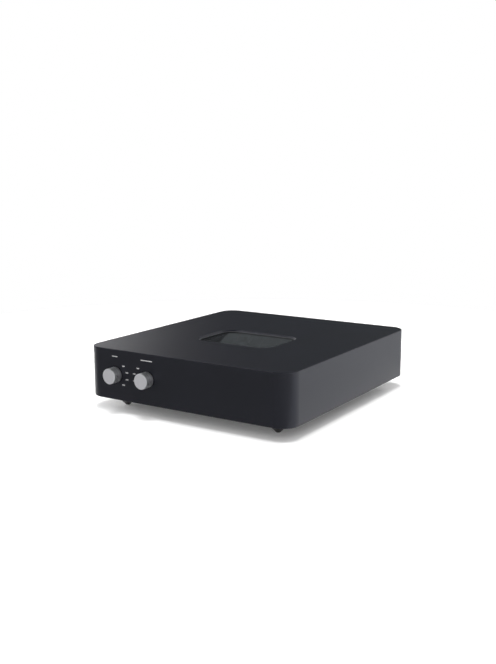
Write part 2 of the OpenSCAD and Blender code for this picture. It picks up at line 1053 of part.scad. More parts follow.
// The dished washer that clamps the ring: a raised rim round a sunk middle
module transformer_clamp() {
    rim_r = 30;
    color("#b5b5ba")
    translate([ring_at[0], ring_at[1], ring_base + ring_h + pad_t])
        rotate_extrude()
            polygon([
                [bolt_r + 0.1, 0],
                [rim_r - 7, 0],
                [rim_r - 4, 2.4],
                [rim_r, 2.4],
                [rim_r, 2.4 + clamp_t],
                [rim_r - 5, 2.4 + clamp_t],
                [rim_r - 8, clamp_t],
                [bolt_r + 0.1, clamp_t]
            ]);
}

module transformer_bolt() {
    nut_z = ring_base + ring_h + pad_t + clamp_t;
    color("#b5b5ba")
    translate([ring_at[0], ring_at[1], 0]) {
        difference() {
            union() {
                translate([0, 0, foot_h + 0.2])
                    cylinder(r = bolt_r, h = nut_z + 8 - foot_h);
                translate([0, 0, foot_h + 0.2])
                    cylinder(r1 = bolt_r + 2.6, r2 = bolt_r, h = 2);
            }
            translate([0, 0, foot_h - 1])
                cylinder(r = 2, h = 3, $fn = 6);
        }
        translate([0, 0, nut_z])
            hex_nut(5.8, bolt_r, 5);
    }
}

// ---------------------------------------------------------------- rear panel

// The mouth of the inlet: a rectangle with two corners cut off
module cavity_outline() {
    w = cavity[0] / 2;
    h = cavity[1] / 2;
    cut = 5;
    polygon([[-w, -h], [w, -h], [w, h - cut], [w - cut, h], [cut - w, h], [-w, h - cut]]);
}

blades = [[-7, -2], [7, -2], [0, 2]];

module power_inlet() {
    color("#161618")
    at_rear(inlet_x)
        difference() {
            union() {
                rounded_plate(inlet_flange[0], inlet_flange[1], 3, inlet_flange[2]);
                translate([0, 0, -inlet_body[2]])
                    rounded_plate(inlet_body[0], inlet_body[1], 1, inlet_body[2] + 1);
            }
            translate([0, cavity_y, inlet_flange[2] - cavity_depth])
                linear_extrude(cavity_depth + 1)
                    cavity_outline();
            translate([-slot[0] / 2, slot_y - slot[1] / 2, -drawer_l - 1])
                cube([slot[0], slot[1], drawer_l + 5]);
            for (b = blades)
                translate([b[0] - 1.05, cavity_y + b[1] - 2.05, -inlet_body[2] - 1])
                    cube([2.1, 4.1, inlet_body[2]]);
            for (s = side)
                translate([s * inlet_screw_x, 0, inlet_flange[2]])
                    countersunk_hole(inlet_flange[2]);
        }
}

// Three blades, with their tips just inside the mouth and a flat tab behind
module inlet_blades() {
    color("#c8c8cc")
    at_rear(inlet_x)
        for (b = blades)
            translate([b[0], cavity_y + b[1], 0]) {
                translate([-1, -2, -inlet_body[2] - 1])
                    cube([2, 4, inlet_body[2]]);
                translate([-0.4, -2, -inlet_body[2] - 8])
                    cube([0.8, 4, 8]);
            }
}

// A sliding tray with a grip at its front, open above the fuse
module fuse_drawer() {
    w = slot[0] - 2 * fit_gap;
    h = slot[1] - 2 * fit_gap;
    color("#1b1b1e")
    at_rear(inlet_x)
        translate([0, slot_y, 0])
            difference() {
                union() {
                    translate([-w / 2, -h / 2, -drawer_l])
                        cube([w, h, drawer_l + inlet_flange[2]]);
                    translate([-w / 2, -h / 2, inlet_flange[2] - 0.1])
                        cube([w, 2, 1.4]);
                }
                translate([-fuse_l / 2 - 0.4, -fuse_r, -drawer_l + 2])
                    cube([fuse_l + 0.8, 10, 2 * fuse_r + 0.6]);
                translate([-8, -fuse_r, -8])
                    cube([16, 10, 6]);
            }
}

module fuse() {
    color("#d9dde0")
    at_rear(inlet_x)
        translate([-fuse_l / 2, slot_y + 0.2, -drawer_l + 2.3 + fuse_r])
            rotate([0, 90, 0]) {
                cylinder(r = fuse_r - 0.2, h = fuse_l);
                for (z = [0, fuse_l - 5.5])
                    translate([0, 0, z])
                        cylinder(r = fuse_r, h = 5.5);
            }
}

module switch_housing() {
    color("#161618")
    at_rear(switch_x)
        difference() {
            union() {
                rounded_plate(15.6, 22, 1.2, 2);
                translate([0, 0, -17])
                    rounded_plate(13, 19.2, 0.4, 18);
                for (y = [-5, 0, 5])
                    translate([-2.4, y - 0.4, -25])
                        cube([4.8, 0.8, 9]);
            }
            translate([-rocker_w / 2 - fit_gap, -rocker_r - fit_gap, rocker_pivot_z - rocker_r - fit_gap])
                cube([rocker_w + 2 * fit_gap, 2 * (rocker_r + fit_gap), 20]);
            translate([-8, 0, rocker_pivot_z])
                rotate([0, 90, 0])
                    cylinder(r = trunnion_r + run_gap, h = 14.4);
        }
}

// Side view of the rocker about its pivot: round ends and a shallow ridge across the face
module rocker_profile() {
    reach = rocker_r + 1;
    drop = reach * tan(rocker_half_turn);
    intersection() {
        circle(r = rocker_r);
        polygon([
            [-reach, -4],
            [reach, -4],
            [reach, rocker_ridge - drop],
            [0, rocker_ridge],
            [-reach, rocker_ridge - drop]
        ]);
    }
}

module power_rocker() {
    color("#1f1f22")
    at_rear(switch_x)
        translate([0, 0, rocker_pivot_z])
            rotate([rocker_half_turn, 0, 0]) {
                rotate([90, 0, 90])
                    translate([0, 0, -rocker_w / 2])
                        linear_extrude(rocker_w)
                            rocker_profile();
                translate([-6.2, 0, 0])
                    rotate([0, 90, 0])
                        cylinder(r = trunnion_r, h = 12.4);
            }
}

// The outer shell of each phono socket: thread, round flange and barrel
module jack_shells() {
    color("#d2a94a")
    for (x = jack_xs)
        at_rear(x)
            difference() {
                union() {
                    translate([0, 0, -12])
                        cylinder(r = thread_r, h = 14);
                    translate([0, 0, 1])
                        cylinder(r = 6, h = 2);
                    translate([0, 0, 3])
                        cylinder(r = jack_r, h = 9);
                }
                translate([0, 0, -13])
                    cylinder(r = core_r, h = 26);
            }
}

// Insulators of each socket: a shouldered bush, an inner washer and the core
module jack_insulators() {
    color("#f0f0ec")
    for (x = jack_xs)
        at_rear(x) {
            difference() {
                union() {
                    cylinder(r = 7, h = 1);
                    translate([0, 0, -panel_t])
                        cylinder(r = 4.9, h = panel_t + 0.5);
                }
                translate([0, 0, -5])
                    cylinder(r = thread_r + run_gap, h = 10);
            }
            translate([0, 0, -panel_t - 1])
                tube_of(6.6, thread_r + run_gap, 1);
            translate([0, 0, -12])
                tube_of(core_r, contact_r, 22.5);
        }
}

// The centre contact of each socket, drilled for the plug's pin
module jack_contacts() {
    color("#d2a94a")
    for (x = jack_xs)
        at_rear(x)
            difference() {
                union() {
                    translate([0, 0, -12])
                        cylinder(r = contact_r, h = 22.5);
                    translate([0, 0, -17])
                        cylinder(r = 0.9, h = 6);
                }
                translate([0, 0, 2.5])
                    cylinder(r = contact_bore_r, h = 9);
            }
}

module ground_post() {
    color("#c4c4c8")
    at_rear(ground_x) {
        cylinder(r = 5, h = 2);
        translate([0, 0, -12])
            cylinder(r = stud_r, h = 12 + stud_out);
    }
}

module ground_washer() {
    color("#c4c4c8")
    at_rear(ground_x)
        translate([0, 0, 2.1])
            tube_of(4.5, stud_r + 0.1, 0.8);
}

// A thumb nut with flutes round its edge
module ground_nut() {
    flutes = 16;
    color("#c9c9cd")
    at_rear(ground_x)
        translate([0, 0, 3])
            linear_extrude(8)
                difference() {
                    circle(r = 5.4);
                    circle(r = stud_r + run_gap);
                    for (k = [0:flutes - 1])
                        rotate(k * 360 / flutes)
                            translate([5.6, 0])
                                circle(r = 0.6);
                }
}

// ---------------------------------------------------------------- wiring

// Unit vector, and two directions across a route that never run along it
function unit(v) = v / norm(v);
function across_a(t) = unit(cross(t, [0.31, 0.94, 0.17]));
function across_b(t) = cross(t, across_a(t));

// A point on the smooth curve through p[k] and p[k + 1], which starts and ends straight
function curve_point(p, k, s) =
    let (
        b = p[k],
        c = p[k + 1],
        a = k > 0 ? p[k - 1] : 2 * b - c,
        d = k < len(p) - 2 ? p[k + 2] : 2 * c - b
    )
    0.5 * (2 * b + (c - a) * s + (2 * a - 5 * b + 4 * c - d) * s * s
        + (3 * b - a - 3 * c + d) * s * s * s);

function smooth_route(p, n) = concat(
    [for (k = [0:len(p) - 2], i = [0:n - 1]) curve_point(p, k, i / n)],
    [p[len(p) - 1]]
);

// A round lead swept along a route as one closed solid
module lead(route, r) {
    sides = 8;
    path = smooth_route(route, 4);
    last = len(path) - 1;
    rings = [
        for (k = [0:last])
            let (t = unit(path[min(k + 1, last)] - path[max(k - 1, 0)]))
            for (i = [0:sides - 1])
                path[k] + r * (cos(i * 360 / sides) * across_a(t)
                    + sin(i * 360 / sides) * across_b(t))
    ];
    walls = [
        for (k = [0:last - 1], i = [0:sides - 1])
            let (
                a = k * sides + i,
                b = k * sides + (i + 1) % sides
            )
            each [[a, b, b + sides], [a, b + sides, a + sides]]
    ];
    near = [for (i = [sides - 1:-1:0]) i];
    far = [for (i = [0:sides - 1]) last * sides + i];
    polyhedron(points = rings, faces = concat(walls, [near, far]), convexity = 8);
}

// Routes: mains to switch, switch to transformer, transformer to power board, supply to main
// board, inputs, outputs and ground to main board, selectors to main board
routes = [
    [[111, 162.9, 61], [111, 157, 61], [104, 152, 61], [84, 152, 63], [74, 158, 63.5], [74, 169.9, 63.5]],
    [
        [74, 169.9, 53.5], [74, 160, 53], [68, 138, 42], [67, 110, 31], [66.7, 40, 28],
        [66.5, -20, 28], [63, -44, 32], [63, -61.2, 40], [72, -67.5, 41]
    ],
    [
        [108, -46.6, 42], [107, -40, 44], [105, -32, 42], [104, -25, 37], [104, -25, 33],
        [104, -25, 30.7]
    ],
    [
        [78, 60, 30.7], [78, 60, 33], [78, 60, 37], [70, 60, 41], [60, 52, 38], [58, 50, 36],
        [58, 50, 33], [58, 50, 30.7]
    ],
    [
        [-132, 177.9, 58.5], [-132, 165, 58], [-132, 146, 46], [-130, 122, 38], [-130, 112, 36],
        [-130, 112, 33], [-130, 112, 30.7]
    ],
    [
        [-104, 177.9, 58.5], [-104, 165, 58], [-104, 146, 46], [-106, 122, 38], [-107, 112, 36],
        [-107, 112, 33], [-107, 112, 30.7]
    ],
    [
        [-80, 182.9, 58.5], [-80, 170, 58], [-79, 146, 46], [-78, 122, 38], [-77, 112, 36],
        [-77, 112, 33], [-77, 112, 30.7]
    ],
    [
        [-44, 177.9, 58.5], [-44, 165, 58], [-42, 146, 46], [-38, 122, 38], [-37, 112, 36],
        [-37, 112, 33], [-37, 112, 30.7]
    ],
    [
        [-16, 177.9, 58.5], [-16, 165, 58], [-18, 146, 46], [-20, 122, 38], [-20, 112, 36],
        [-20, 112, 33], [-20, 112, 30.7]
    ],
    [
        [gain_x + 5.9, -154.5, 36.6], [gain_x + 5.9, -149, 36.2], [-117, -130, 32], [-118, -104, 33.5],
        [-118, -88, 37], [-118, -80, 36], [-118, -80, 33], [-118, -80, 30.7]
    ],
    [
        [load_x + 5.9, -154.5, 36.6], [load_x + 5.9, -149, 36.2], [-56, -130, 32], [-57, -104, 33.5],
        [-57, -88, 37], [-57, -80, 36], [-57, -80, 33], [-57, -80, 30.7]
    ]
];

module wiring() {
    color("#b0302a")
    for (route = routes)
        lead(route, 1.5);
}

// ---------------------------------------------------------------- assembly

chassis_shell();
base_plate();
rear_panel();
window_glass();
window_gasket();
window_frame();
case_screws();
pan_screws();
foot(feet[0]);  // foot_front_left
foot(feet[1]);  // foot_front_right
foot(feet[2]);  // foot_rear_left
foot(feet[3]);  // foot_rear_right
foot_pads();
foot_screws();
knob(gain_x, gain_angle, 0);  // gain_knob
knob(load_x, load_angle, -15);  // load_knob
grub_screw(gain_x, 0);  // gain_grub_screw
grub_screw(load_x, -15);  // load_grub_screw
selector_shaft(gain_x, 0);  // gain_shaft
selector_shaft(load_x, -15);  // load_shaft
rotors(gain_x, gain_angle);  // gain_rotors
rotors(load_x, load_angle);  // load_rotors
index_housing(gain_x);  // gain_index_housing
index_housing(load_x);  // load_index_housing
selector_wafers();
selector_contacts();
selector_tie_rods();
panel_nuts();
tube_glass(tubes[0]);  // tube_glass_1
tube_glass(tubes[1]);  // tube_glass_2
tube_glass(tubes[2]);  // tube_glass_3
tube_glass(tubes[3]);  // tube_glass_4
tube_electrodes();
tube_sockets();
main_board();
power_board();
board_standoffs();
coupling_capacitors();
filter_capacitors();
heat_sinks();
regulators();
step_up_transformers();
mains_transformer();
transformer_pads();
transformer_clamp();
transformer_bolt();
power_inlet();
inlet_blades();
fuse_drawer();
fuse();
switch_housing();
power_rocker();
jack_shells();
jack_insulators();
jack_contacts();
ground_post();
ground_washer();
ground_nut();
wiring();
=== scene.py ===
"""Looks of a phono preamplifier with a tube stage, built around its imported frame."""

import logging
import math
from collections.abc import Sequence
from dataclasses import dataclass
from enum import Enum
from functools import cache

import bmesh
import bpy
import numpy as np
from mathutils import Matrix, Vector


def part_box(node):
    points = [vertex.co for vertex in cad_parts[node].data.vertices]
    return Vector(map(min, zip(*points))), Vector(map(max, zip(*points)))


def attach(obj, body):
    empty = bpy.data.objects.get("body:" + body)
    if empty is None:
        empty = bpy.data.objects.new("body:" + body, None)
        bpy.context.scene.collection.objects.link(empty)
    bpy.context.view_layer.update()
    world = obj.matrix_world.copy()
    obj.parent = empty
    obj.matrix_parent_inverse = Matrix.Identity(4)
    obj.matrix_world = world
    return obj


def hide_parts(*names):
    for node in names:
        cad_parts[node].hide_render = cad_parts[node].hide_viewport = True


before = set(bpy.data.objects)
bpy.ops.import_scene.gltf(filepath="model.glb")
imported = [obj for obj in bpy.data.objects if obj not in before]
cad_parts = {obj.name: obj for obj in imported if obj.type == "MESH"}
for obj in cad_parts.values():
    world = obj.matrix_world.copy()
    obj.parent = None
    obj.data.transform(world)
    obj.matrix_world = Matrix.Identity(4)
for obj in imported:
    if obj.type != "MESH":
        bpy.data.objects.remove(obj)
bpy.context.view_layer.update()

LOG = logging.getLogger("phono_preamplifier")

Place = tuple[float, float]
Point = tuple[float, float, float]
Colour = tuple[float, float, float]
Corners = tuple[Point, Point, Point, Point]
Shape = tuple[np.ndarray, np.ndarray]
Socket = bpy.types.NodeSocket

SHARP_ANGLE = math.radians(35)

# Lengths in metres
MM = 0.001
INK_THICKNESS = 0.00004
MERGE_DISTANCE = 1e-7
EMPTY_LENGTH = 1e-8

# Decimal places that a length read from the frame is rounded to
FRAME_DECIMALS = 5

# A direction that no wire runs along, from which its rings are laid out
ASKEW = (0.31, 0.94, 0.17)


# ---------------------------------------------------------------- places from the frame


class Axis(Enum):
    """An axis of the object's frame, by its place in x, y, z."""

    X = 0
    Y = 1
    Z = 2


def lowest(node: str, axis: Axis) -> float:
    """Give the lowest place of a CAD node along an axis, in metres."""
    return round(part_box(node)[0][axis.value], FRAME_DECIMALS)


def highest(node: str, axis: Axis) -> float:
    """Give the highest place of a CAD node along an axis, in metres."""
    return round(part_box(node)[1][axis.value], FRAME_DECIMALS)


def middle(node: str) -> Point:
    """Give the middle of a CAD node's box, in metres."""
    low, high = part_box(node)
    return tuple(round(c, FRAME_DECIMALS) for c in (low + high) / 2)


FRONT_Y = lowest("chassis_shell", Axis.Y)
REAR_Y = highest("chassis_shell", Axis.Y)
BOARD_TOP = highest("main_board", Axis.Z)


# ---------------------------------------------------------------- surfaces


def add_object(name: str, data: bpy.types.ID) -> bpy.types.Object:
    """Make an object of some data and link it to the scene.

    Args:
        name: Name of the object.
        data: What it holds, such as a mesh.

    Returns:
        The new object.
    """
    made = bpy.data.objects.new(name, data)
    bpy.context.scene.collection.objects.link(made)
    return made


def make_mesh(name: str, points: np.ndarray, faces: np.ndarray, smooth: bool = True) -> bpy.types.Object:
    """Make an object from whole arrays, with its place in its mesh.

    Args:
        name: Name of the new piece.
        points: One row of x, y, z for each vertex, in metres.
        faces: One row of vertex numbers for each face.
        smooth: Whether the faces are shaded smooth.

    Returns:
        The new object, linked to the scene.
    """
    mesh = bpy.data.meshes.new(name)
    mesh.from_pydata(points.tolist(), [], faces.tolist())
    mesh.polygons.foreach_set("use_smooth", np.full(len(mesh.polygons), smooth))
    mesh.update()
    return add_object(name, mesh)


def grid_faces(rows: int, columns: int, close_rows: bool = False, close_columns: bool = False) -> np.ndarray:
    """Number the four-sided faces of a grid of vertices.

    Face (i, j) joins vertices (i, j), (i, j+1), (i+1, j+1) and (i+1, j), where vertex (i, j) is
    number i * columns + j, and a closed direction wraps round to its first row or column.

    Args:
        rows: Vertices along the first parameter.
        columns: Vertices along the second parameter.
        close_rows: Whether the last row joins the first one.
        close_columns: Whether the last column joins the first one.

    Returns:
        An array with four vertex numbers for each face.
    """
    i = np.arange(rows if close_rows else rows - 1)
    j = np.arange(columns if close_columns else columns - 1)
    i, j = np.meshgrid(i, j, indexing="ij")
    next_i, next_j = (i + 1) % rows, (j + 1) % columns
    corners = [i * columns + j, i * columns + next_j, next_i * columns + next_j, next_i * columns + j]
    return np.stack([c.ravel() for c in corners], axis=1)


def fan(middle: int, ring: np.ndarray) -> np.ndarray:
    """Close a ring of vertices: face k joins the middle to the ring's vertices k + 1 and k."""
    return np.stack([np.full(len(ring), middle), np.roll(ring, -1), ring, ring], axis=1)


def repeat_shape(points: np.ndarray, faces: np.ndarray, moves: np.ndarray) -> Shape:
    """Repeat a shape at several places: copy k is the shape shifted by row k of moves.

    Args:
        points: Vertices of one shape.
        faces: Faces of one shape.
        moves: One shift for each copy.

    Returns:
        The vertices and faces of all copies together.
    """
    every = (moves[:, None, :] + points[None, :, :]).reshape(-1, 3)
    numbers = (np.arange(len(moves))[:, None, None] * len(points) + faces[None]).reshape(-1, faces.shape[1])
    return every, numbers


def lathe(profile: Sequence[Place], sides: int = 48) -> Shape:
    """Turn a closed profile about Z: point (r, z) at angle t goes to (r cos t, r sin t, z).

    Args:
        profile: Radius and height of each point of a closed outline, counter-clockwise.
        sides: Steps round the axis.

    Returns:
        The vertices and faces of the turned ring.
    """
    outline = np.asarray(profile, float)
    turn = np.linspace(0, 2 * np.pi, sides, endpoint=False)
    points = np.stack(
        [
            np.outer(np.cos(turn), outline[:, 0]),
            np.outer(np.sin(turn), outline[:, 0]),
            np.tile(outline[:, 1], (sides, 1)),
        ],
        axis=2,
    )
    return points.reshape(-1, 3), grid_faces(sides, len(outline), True, True)


def smooth_path(points: Sequence[Point], steps: int) -> np.ndarray:
    """Carry a smooth curve through points, straight at both ends.

    Between points b and c with neighbours a and d, the curve at share s is half of
    2b + (c - a) s + (2a - 5b + 4c - d) s^2 + (3b - a - 3c + d) s^3.

    Args:
        points: Points that the curve passes through.
        steps: Steps between two of them.

    Returns:
        An array of points along the curve.
    """
    known = np.asarray(points, float)
    known = np.vstack([2 * known[0] - known[1], known, 2 * known[-1] - known[-2]])
    a, b, c, d = (known[i : len(known) - 3 + i, None, :] for i in range(4))
    s = np.linspace(0, 1, steps, endpoint=False)[None, :, None]
    curve = 0.5 * (2 * b + (c - a) * s + (2 * a - 5 * b + 4 * c - d) * s**2 + (3 * b - a - 3 * c + d) * s**3)
    return np.vstack([curve.reshape(-1, 3), known[-2]])


def sweep(path: np.ndarray, radius: float, sides: int = 16) -> Shape:
    """Sweep a round section along a path: ring k lies square to the path at its point k.

    The vertex at angle t of a ring is the path's point plus radius times (u cos t + v sin t),
    where u and v are square to the path and to each other.

    Args:
        path: Points along the middle.
        radius: Radius of the section.
        sides: Steps round the section.

    Returns:
        The vertices and faces, with a closed fan at each end.
    """
    along = np.gradient(path, axis=0)
    along /= np.linalg.norm(along, axis=1)[:, None]
    u = np.cross(along, ASKEW)
    u /= np.linalg.norm(u, axis=1)[:, None]
    v = np.cross(along, u)
    turn = np.linspace(0, 2 * np.pi, sides, endpoint=False)[None, :, None]
    rings = path[:, None] + radius * (u[:, None] * np.cos(turn) + v[:, None] * np.sin(turn))
    count = len(path) * sides
    points = np.vstack([rings.reshape(-1, 3), path[0], path[-1]])
    first, last = np.arange(sides), np.arange(count - sides, count)
    walls = grid_faces(len(path), sides, False, True)
    return points, np.vstack([walls, fan(count, first), fan(count + 1, last[::-1])])


def join_shapes(shapes: Sequence[Shape]) -> Shape:
    """Join several shapes, each with the same number of corners to a face, into one."""
    starts = np.cumsum([0] + [len(points) for points, _ in shapes[:-1]])
    return (
        np.vstack([points for points, _ in shapes]),
        np.vstack([faces + start for (_, faces), start in zip(shapes, starts)]),
    )


def round_corners(size: Sequence[float], radius: float, steps: int) -> tuple[np.ndarray, np.ndarray]:
    """Walk round a rectangle with round corners.

    The point at angle t of a corner is the corner's centre plus radius (cos t, sin t).

    Args:
        size: Width and depth of the rectangle.
        radius: Radius of its corners.
        steps: Points on each corner.

    Returns:
        The corner's centre and (cos t, sin t) for each point.
    """
    turn = np.concatenate([np.linspace(k, k + 1, steps) for k in range(4)]) * np.pi / 2
    sign = np.repeat(np.array([[1, 1], [-1, 1], [-1, -1], [1, -1]]), steps, axis=0)
    return sign * (np.array(size[:2]) / 2 - radius), np.stack([np.cos(turn), np.sin(turn)], axis=1)


def round_box(size: Point, radius: float) -> Shape:
    """Make a box on Z = 0 with upright round corners and a small bevel on top.

    Its outline is carried up three levels: the foot, the start of the bevel and the top, which
    is drawn in by the bevel.

    Args:
        size: Width, depth and height.
        radius: Radius of the upright corners.

    Returns:
        The vertices and faces, each face with four corners.
    """
    centre, around = round_corners(size, radius, steps=4)
    height, bevel = size[2], radius / 2
    levels = [(radius, 0.0), (radius, height - bevel), (radius - bevel, height)]
    rows = [np.column_stack([centre + r * around, np.full(len(around), z)]) for r, z in levels]
    ring = np.arange(len(around))
    low = len(levels) * len(ring)
    points = np.vstack([*rows, [[0, 0, 0], [0, 0, height]]])
    walls = grid_faces(len(levels), len(ring), False, True)
    return points, np.vstack([walls, fan(low, ring), fan(low + 1, ring[::-1] + low - len(ring))])


def clean_mesh(made: bpy.types.Object) -> bpy.types.Object:
    """Merge doubled vertices, drop empty faces and turn every face outwards.

    Args:
        made: The object whose mesh is cleaned.

    Returns:
        The same object.
    """
    work = bmesh.new()
    work.from_mesh(made.data)
    bmesh.ops.remove_doubles(work, verts=work.verts, dist=MERGE_DISTANCE)
    bmesh.ops.dissolve_degenerate(work, edges=work.edges, dist=EMPTY_LENGTH)
    bmesh.ops.recalc_face_normals(work, faces=work.faces)
    work.to_mesh(made.data)
    work.free()
    made.data.update()
    return made


# ---------------------------------------------------------------- finishes


class Grain(Enum):
    """Which marks the making of a surface leaves on it."""

    BLASTED = "fine even pits"
    BRUSHED = "long marks along X"
    TURNED = "rings about an axis"
    MOULDED = "soft unevenness"


@dataclass
class Graph:
    """Adds shader nodes to one material.

    Attributes:
        tree: The material's node tree.
        noise_roughness: How much each finer layer of a noise counts.
    """

    tree: bpy.types.NodeTree
    noise_roughness: float = 0.55

    def add(self, kind: str, inputs: dict | None = None, **settings: object) -> bpy.types.Node:
        """Add one node.

        Args:
            kind: Blender's name for the node type.
            inputs: Value or source socket for each input, by its name or number.
            **settings: Properties of the node.

        Returns:
            The new node.
        """
        made = self.tree.nodes.new(kind)
        for key, value in settings.items():
            setattr(made, key, value)
        return self.fill(made, inputs or {})

    def fill(self, node: bpy.types.Node, inputs: dict) -> bpy.types.Node:
        """Set a node's inputs to values, or link them to sockets.

        Args:
            node: The node.
            inputs: Value or source socket for each input, by its name or number.

        Returns:
            The same node.
        """
        for key, value in inputs.items():
            if isinstance(value, Socket):
                self.tree.links.new(value, node.inputs[key])
            else:
                node.inputs[key].default_value = value
        return node

    def surface(self, inputs: dict) -> None:
        """Set or link inputs of the material's main shader."""
        self.fill(self.tree.nodes["Principled BSDF"], inputs)

    def show(self, shader: Socket) -> None:
        """Put another shader in the place of the main one."""
        self.tree.nodes.remove(self.tree.nodes["Principled BSDF"])
        self.fill(self.tree.nodes["Material Output"], {"Surface": shader})

    def place(self, centre: Point = (0, 0, 0), stretch: Point = (1, 1, 1)) -> Socket:
        """Give object coordinates measured from a centre and stretched along each axis.

        Args:
            centre: The point that becomes the origin.
            stretch: Factor for each axis.

        Returns:
            The coordinates.
        """
        at = self.add("ShaderNodeTexCoord").outputs["Object"]
        shifted = self.add("ShaderNodeVectorMath", {0: at, 1: centre}, operation="SUBTRACT").outputs[0]
        return self.add("ShaderNodeVectorMath", {0: shifted, 1: stretch}, operation="MULTIPLY").outputs[0]

    def split(self, vector: Socket) -> Sequence[Socket]:
        """Give the x, y and z of a vector."""
        return self.add("ShaderNodeSeparateXYZ", {0: vector}).outputs

    def along_map(self) -> Socket:
        """Give U of the piece's own UV map."""
        return self.split(self.add("ShaderNodeUVMap").outputs[0])[0]

    def math(self, operation: str, *values: object) -> Socket:
        """Give the result of one operation on numbers or sockets."""
        return self.add("ShaderNodeMath", dict(enumerate(values)), operation=operation).outputs[0]

    def noise(self, at: Socket, size: float, detail: float = 3.0) -> Socket:
        """Give a noise whose features are about size metres across."""
        settings = {"Vector": at, "Scale": 1 / size, "Detail": detail, "Roughness": self.noise_roughness}
        return self.add("ShaderNodeTexNoise", settings).outputs["Fac"]

    def spread(
        self, value: Socket, low: float, high: float, start: float = 0.3, end: float = 0.7
    ) -> Socket:
        """Spread a value from its usual range, start to end, over low to high."""
        settings = {"Value": value, "From Min": start, "From Max": end, "To Min": low, "To Max": high}
        return self.add("ShaderNodeMapRange", settings).outputs["Result"]

    def mix(self, share: object, first: object, second: object) -> Socket:
        """Mix two colours by a share from 0 to 1. They are inputs 6 and 7 of the node, and output 2."""
        return self.add("ShaderNodeMix", {0: share, 6: first, 7: second}, data_type="RGBA").outputs[2]


def rgba(colour: Colour, factor: float = 1.0) -> tuple[float, float, float, float]:
    """Give a colour with its alpha, made lighter or darker by a factor."""
    return (*(min(1.0, c * factor) for c in colour), 1.0)


def new_material(name: str, colour: Colour) -> tuple[bpy.types.Material, Graph]:
    """Make a material of one colour, with the graph that adds to it.

    Args:
        name: Name of the material.
        colour: Its base colour.

    Returns:
        The material and its graph.
    """
    material = bpy.data.materials.new(name)
    material.use_nodes = True
    material.diffuse_color = rgba(colour)
    graph = Graph(material.node_tree)
    graph.surface({"Base Color": rgba(colour)})
    return material, graph


@dataclass(frozen=True)
class Finish:
    """An opaque surface with the marks that its making leaves.

    Attributes:
        name: Name of the material.
        colour: Base colour, linear.
        roughness: Roughness in the middle of its range.
        metallic: 1 for bare metal, 0 for anything else.
        specular: Specular level of a surface that isn't bare metal.
        sheen: Colour of the reflections of a surface that isn't bare metal.
        grain: Kind of marks.
        grain_size: Width of one mark, in metres.
        grain_depth: Depth of the marks, in metres.
        mottle: How far the colour strays, as a share of it.
        mottle_size: Width of a patch of stray colour, in metres.
        swing: How far the roughness strays.
        coat: Weight of a clear coat.
        axis: Axis that turned marks go round.
        centre: A point on that axis.
        brush_stretch: Width of a brushed mark as a share of its length.
    """

    name: str
    colour: Colour
    roughness: float
    metallic: float = 0.0
    specular: float = 0.5
    sheen: Colour = (1.0, 1.0, 1.0)
    grain: Grain = Grain.MOULDED
    grain_size: float = 0.0008
    grain_depth: float = 0.00001
    mottle: float = 0.1
    mottle_size: float = 0.03
    swing: float = 0.05
    coat: float = 0.0
    axis: Axis = Axis.Z
    centre: Point = (0.0, 0.0, 0.0)
    brush_stretch: float = 0.02

    def marks(self, graph: Graph) -> Socket:
        """Give the height of the surface's marks, from 0 to 1.

        It is a noise of the place: stretched along X for brushed marks, and of the distance along the axis
        and from it for turned rings.

        Args:
            graph: The graph that the nodes join.

        Returns:
            The height.
        """
        if self.grain is Grain.BRUSHED:
            return graph.noise(graph.place(self.centre, (self.brush_stretch, 1, 1)), self.grain_size)
        if self.grain is not Grain.TURNED:
            return graph.noise(graph.place(self.centre), self.grain_size)
        parts = graph.split(graph.place(self.centre))
        across = [parts[a.value] for a in Axis if a is not self.axis]
        squares = [graph.math("MULTIPLY", a, a) for a in across]
        radius = graph.math("SQRT", graph.math("ADD", *squares))
        rings = graph.add("ShaderNodeCombineXYZ", {0: radius, 1: parts[self.axis.value]}).outputs[0]
        return graph.noise(rings, self.grain_size, detail=2.0)

    def tint(self, graph: Graph) -> Socket:
        """Give the colour with its slow variation."""
        share = graph.spread(graph.noise(graph.place(), self.mottle_size), 0, 1)
        return graph.mix(share, rgba(self.colour, 1 - self.mottle), rgba(self.colour, 1 + self.mottle))

    def build(self) -> bpy.types.Material:
        """Make the material: first what is the same all over, then what varies.

        Returns:
            The material.
        """
        material, graph = new_material(self.name, self.colour)
        graph.surface(
            {
                "Roughness": self.roughness,
                "Metallic": self.metallic,
                "Specular IOR Level": self.specular,
                "Specular Tint": rgba(self.sheen),
                "Coat Weight": self.coat,
            }
        )
        height = self.marks(graph)
        bump = graph.add("ShaderNodeBump", {"Height": height, "Strength": 1.0, "Distance": self.grain_depth})
        uneven = graph.spread(height, self.roughness - self.swing, self.roughness + self.swing)
        graph.surface({"Normal": bump.outputs[0], "Base Color": self.tint(graph), "Roughness": uneven})
        return material


@dataclass(frozen=True)
class ClearFinish:
    """Glass, clear or smoked.

    Attributes:
        name: Name of the material.
        colour: Colour that light takes on passing in and out.
        roughness: Roughness of the faces.
        smear: How much roughness faint smears add.
        smear_size: Width of a smear, in metres.
        smear_levels: Levels of the noise between which a smear comes up.
        refraction: Index of refraction.
    """

    name: str
    colour: Colour
    roughness: float = 0.01
    smear: float = 0.03
    smear_size: float = 0.03
    smear_levels: tuple[float, float] = (0.5, 0.8)
    refraction: float = 1.5

    def build(self) -> bpy.types.Material:
        """Make the material.

        Returns:
            The material.
        """
        material, graph = new_material(self.name, self.colour)
        smears = graph.noise(graph.place(), self.smear_size)
        uneven = graph.spread(smears, self.roughness, self.roughness + self.smear, *self.smear_levels)
        graph.surface({"Transmission Weight": 1.0, "IOR": self.refraction, "Roughness": uneven})
        return material


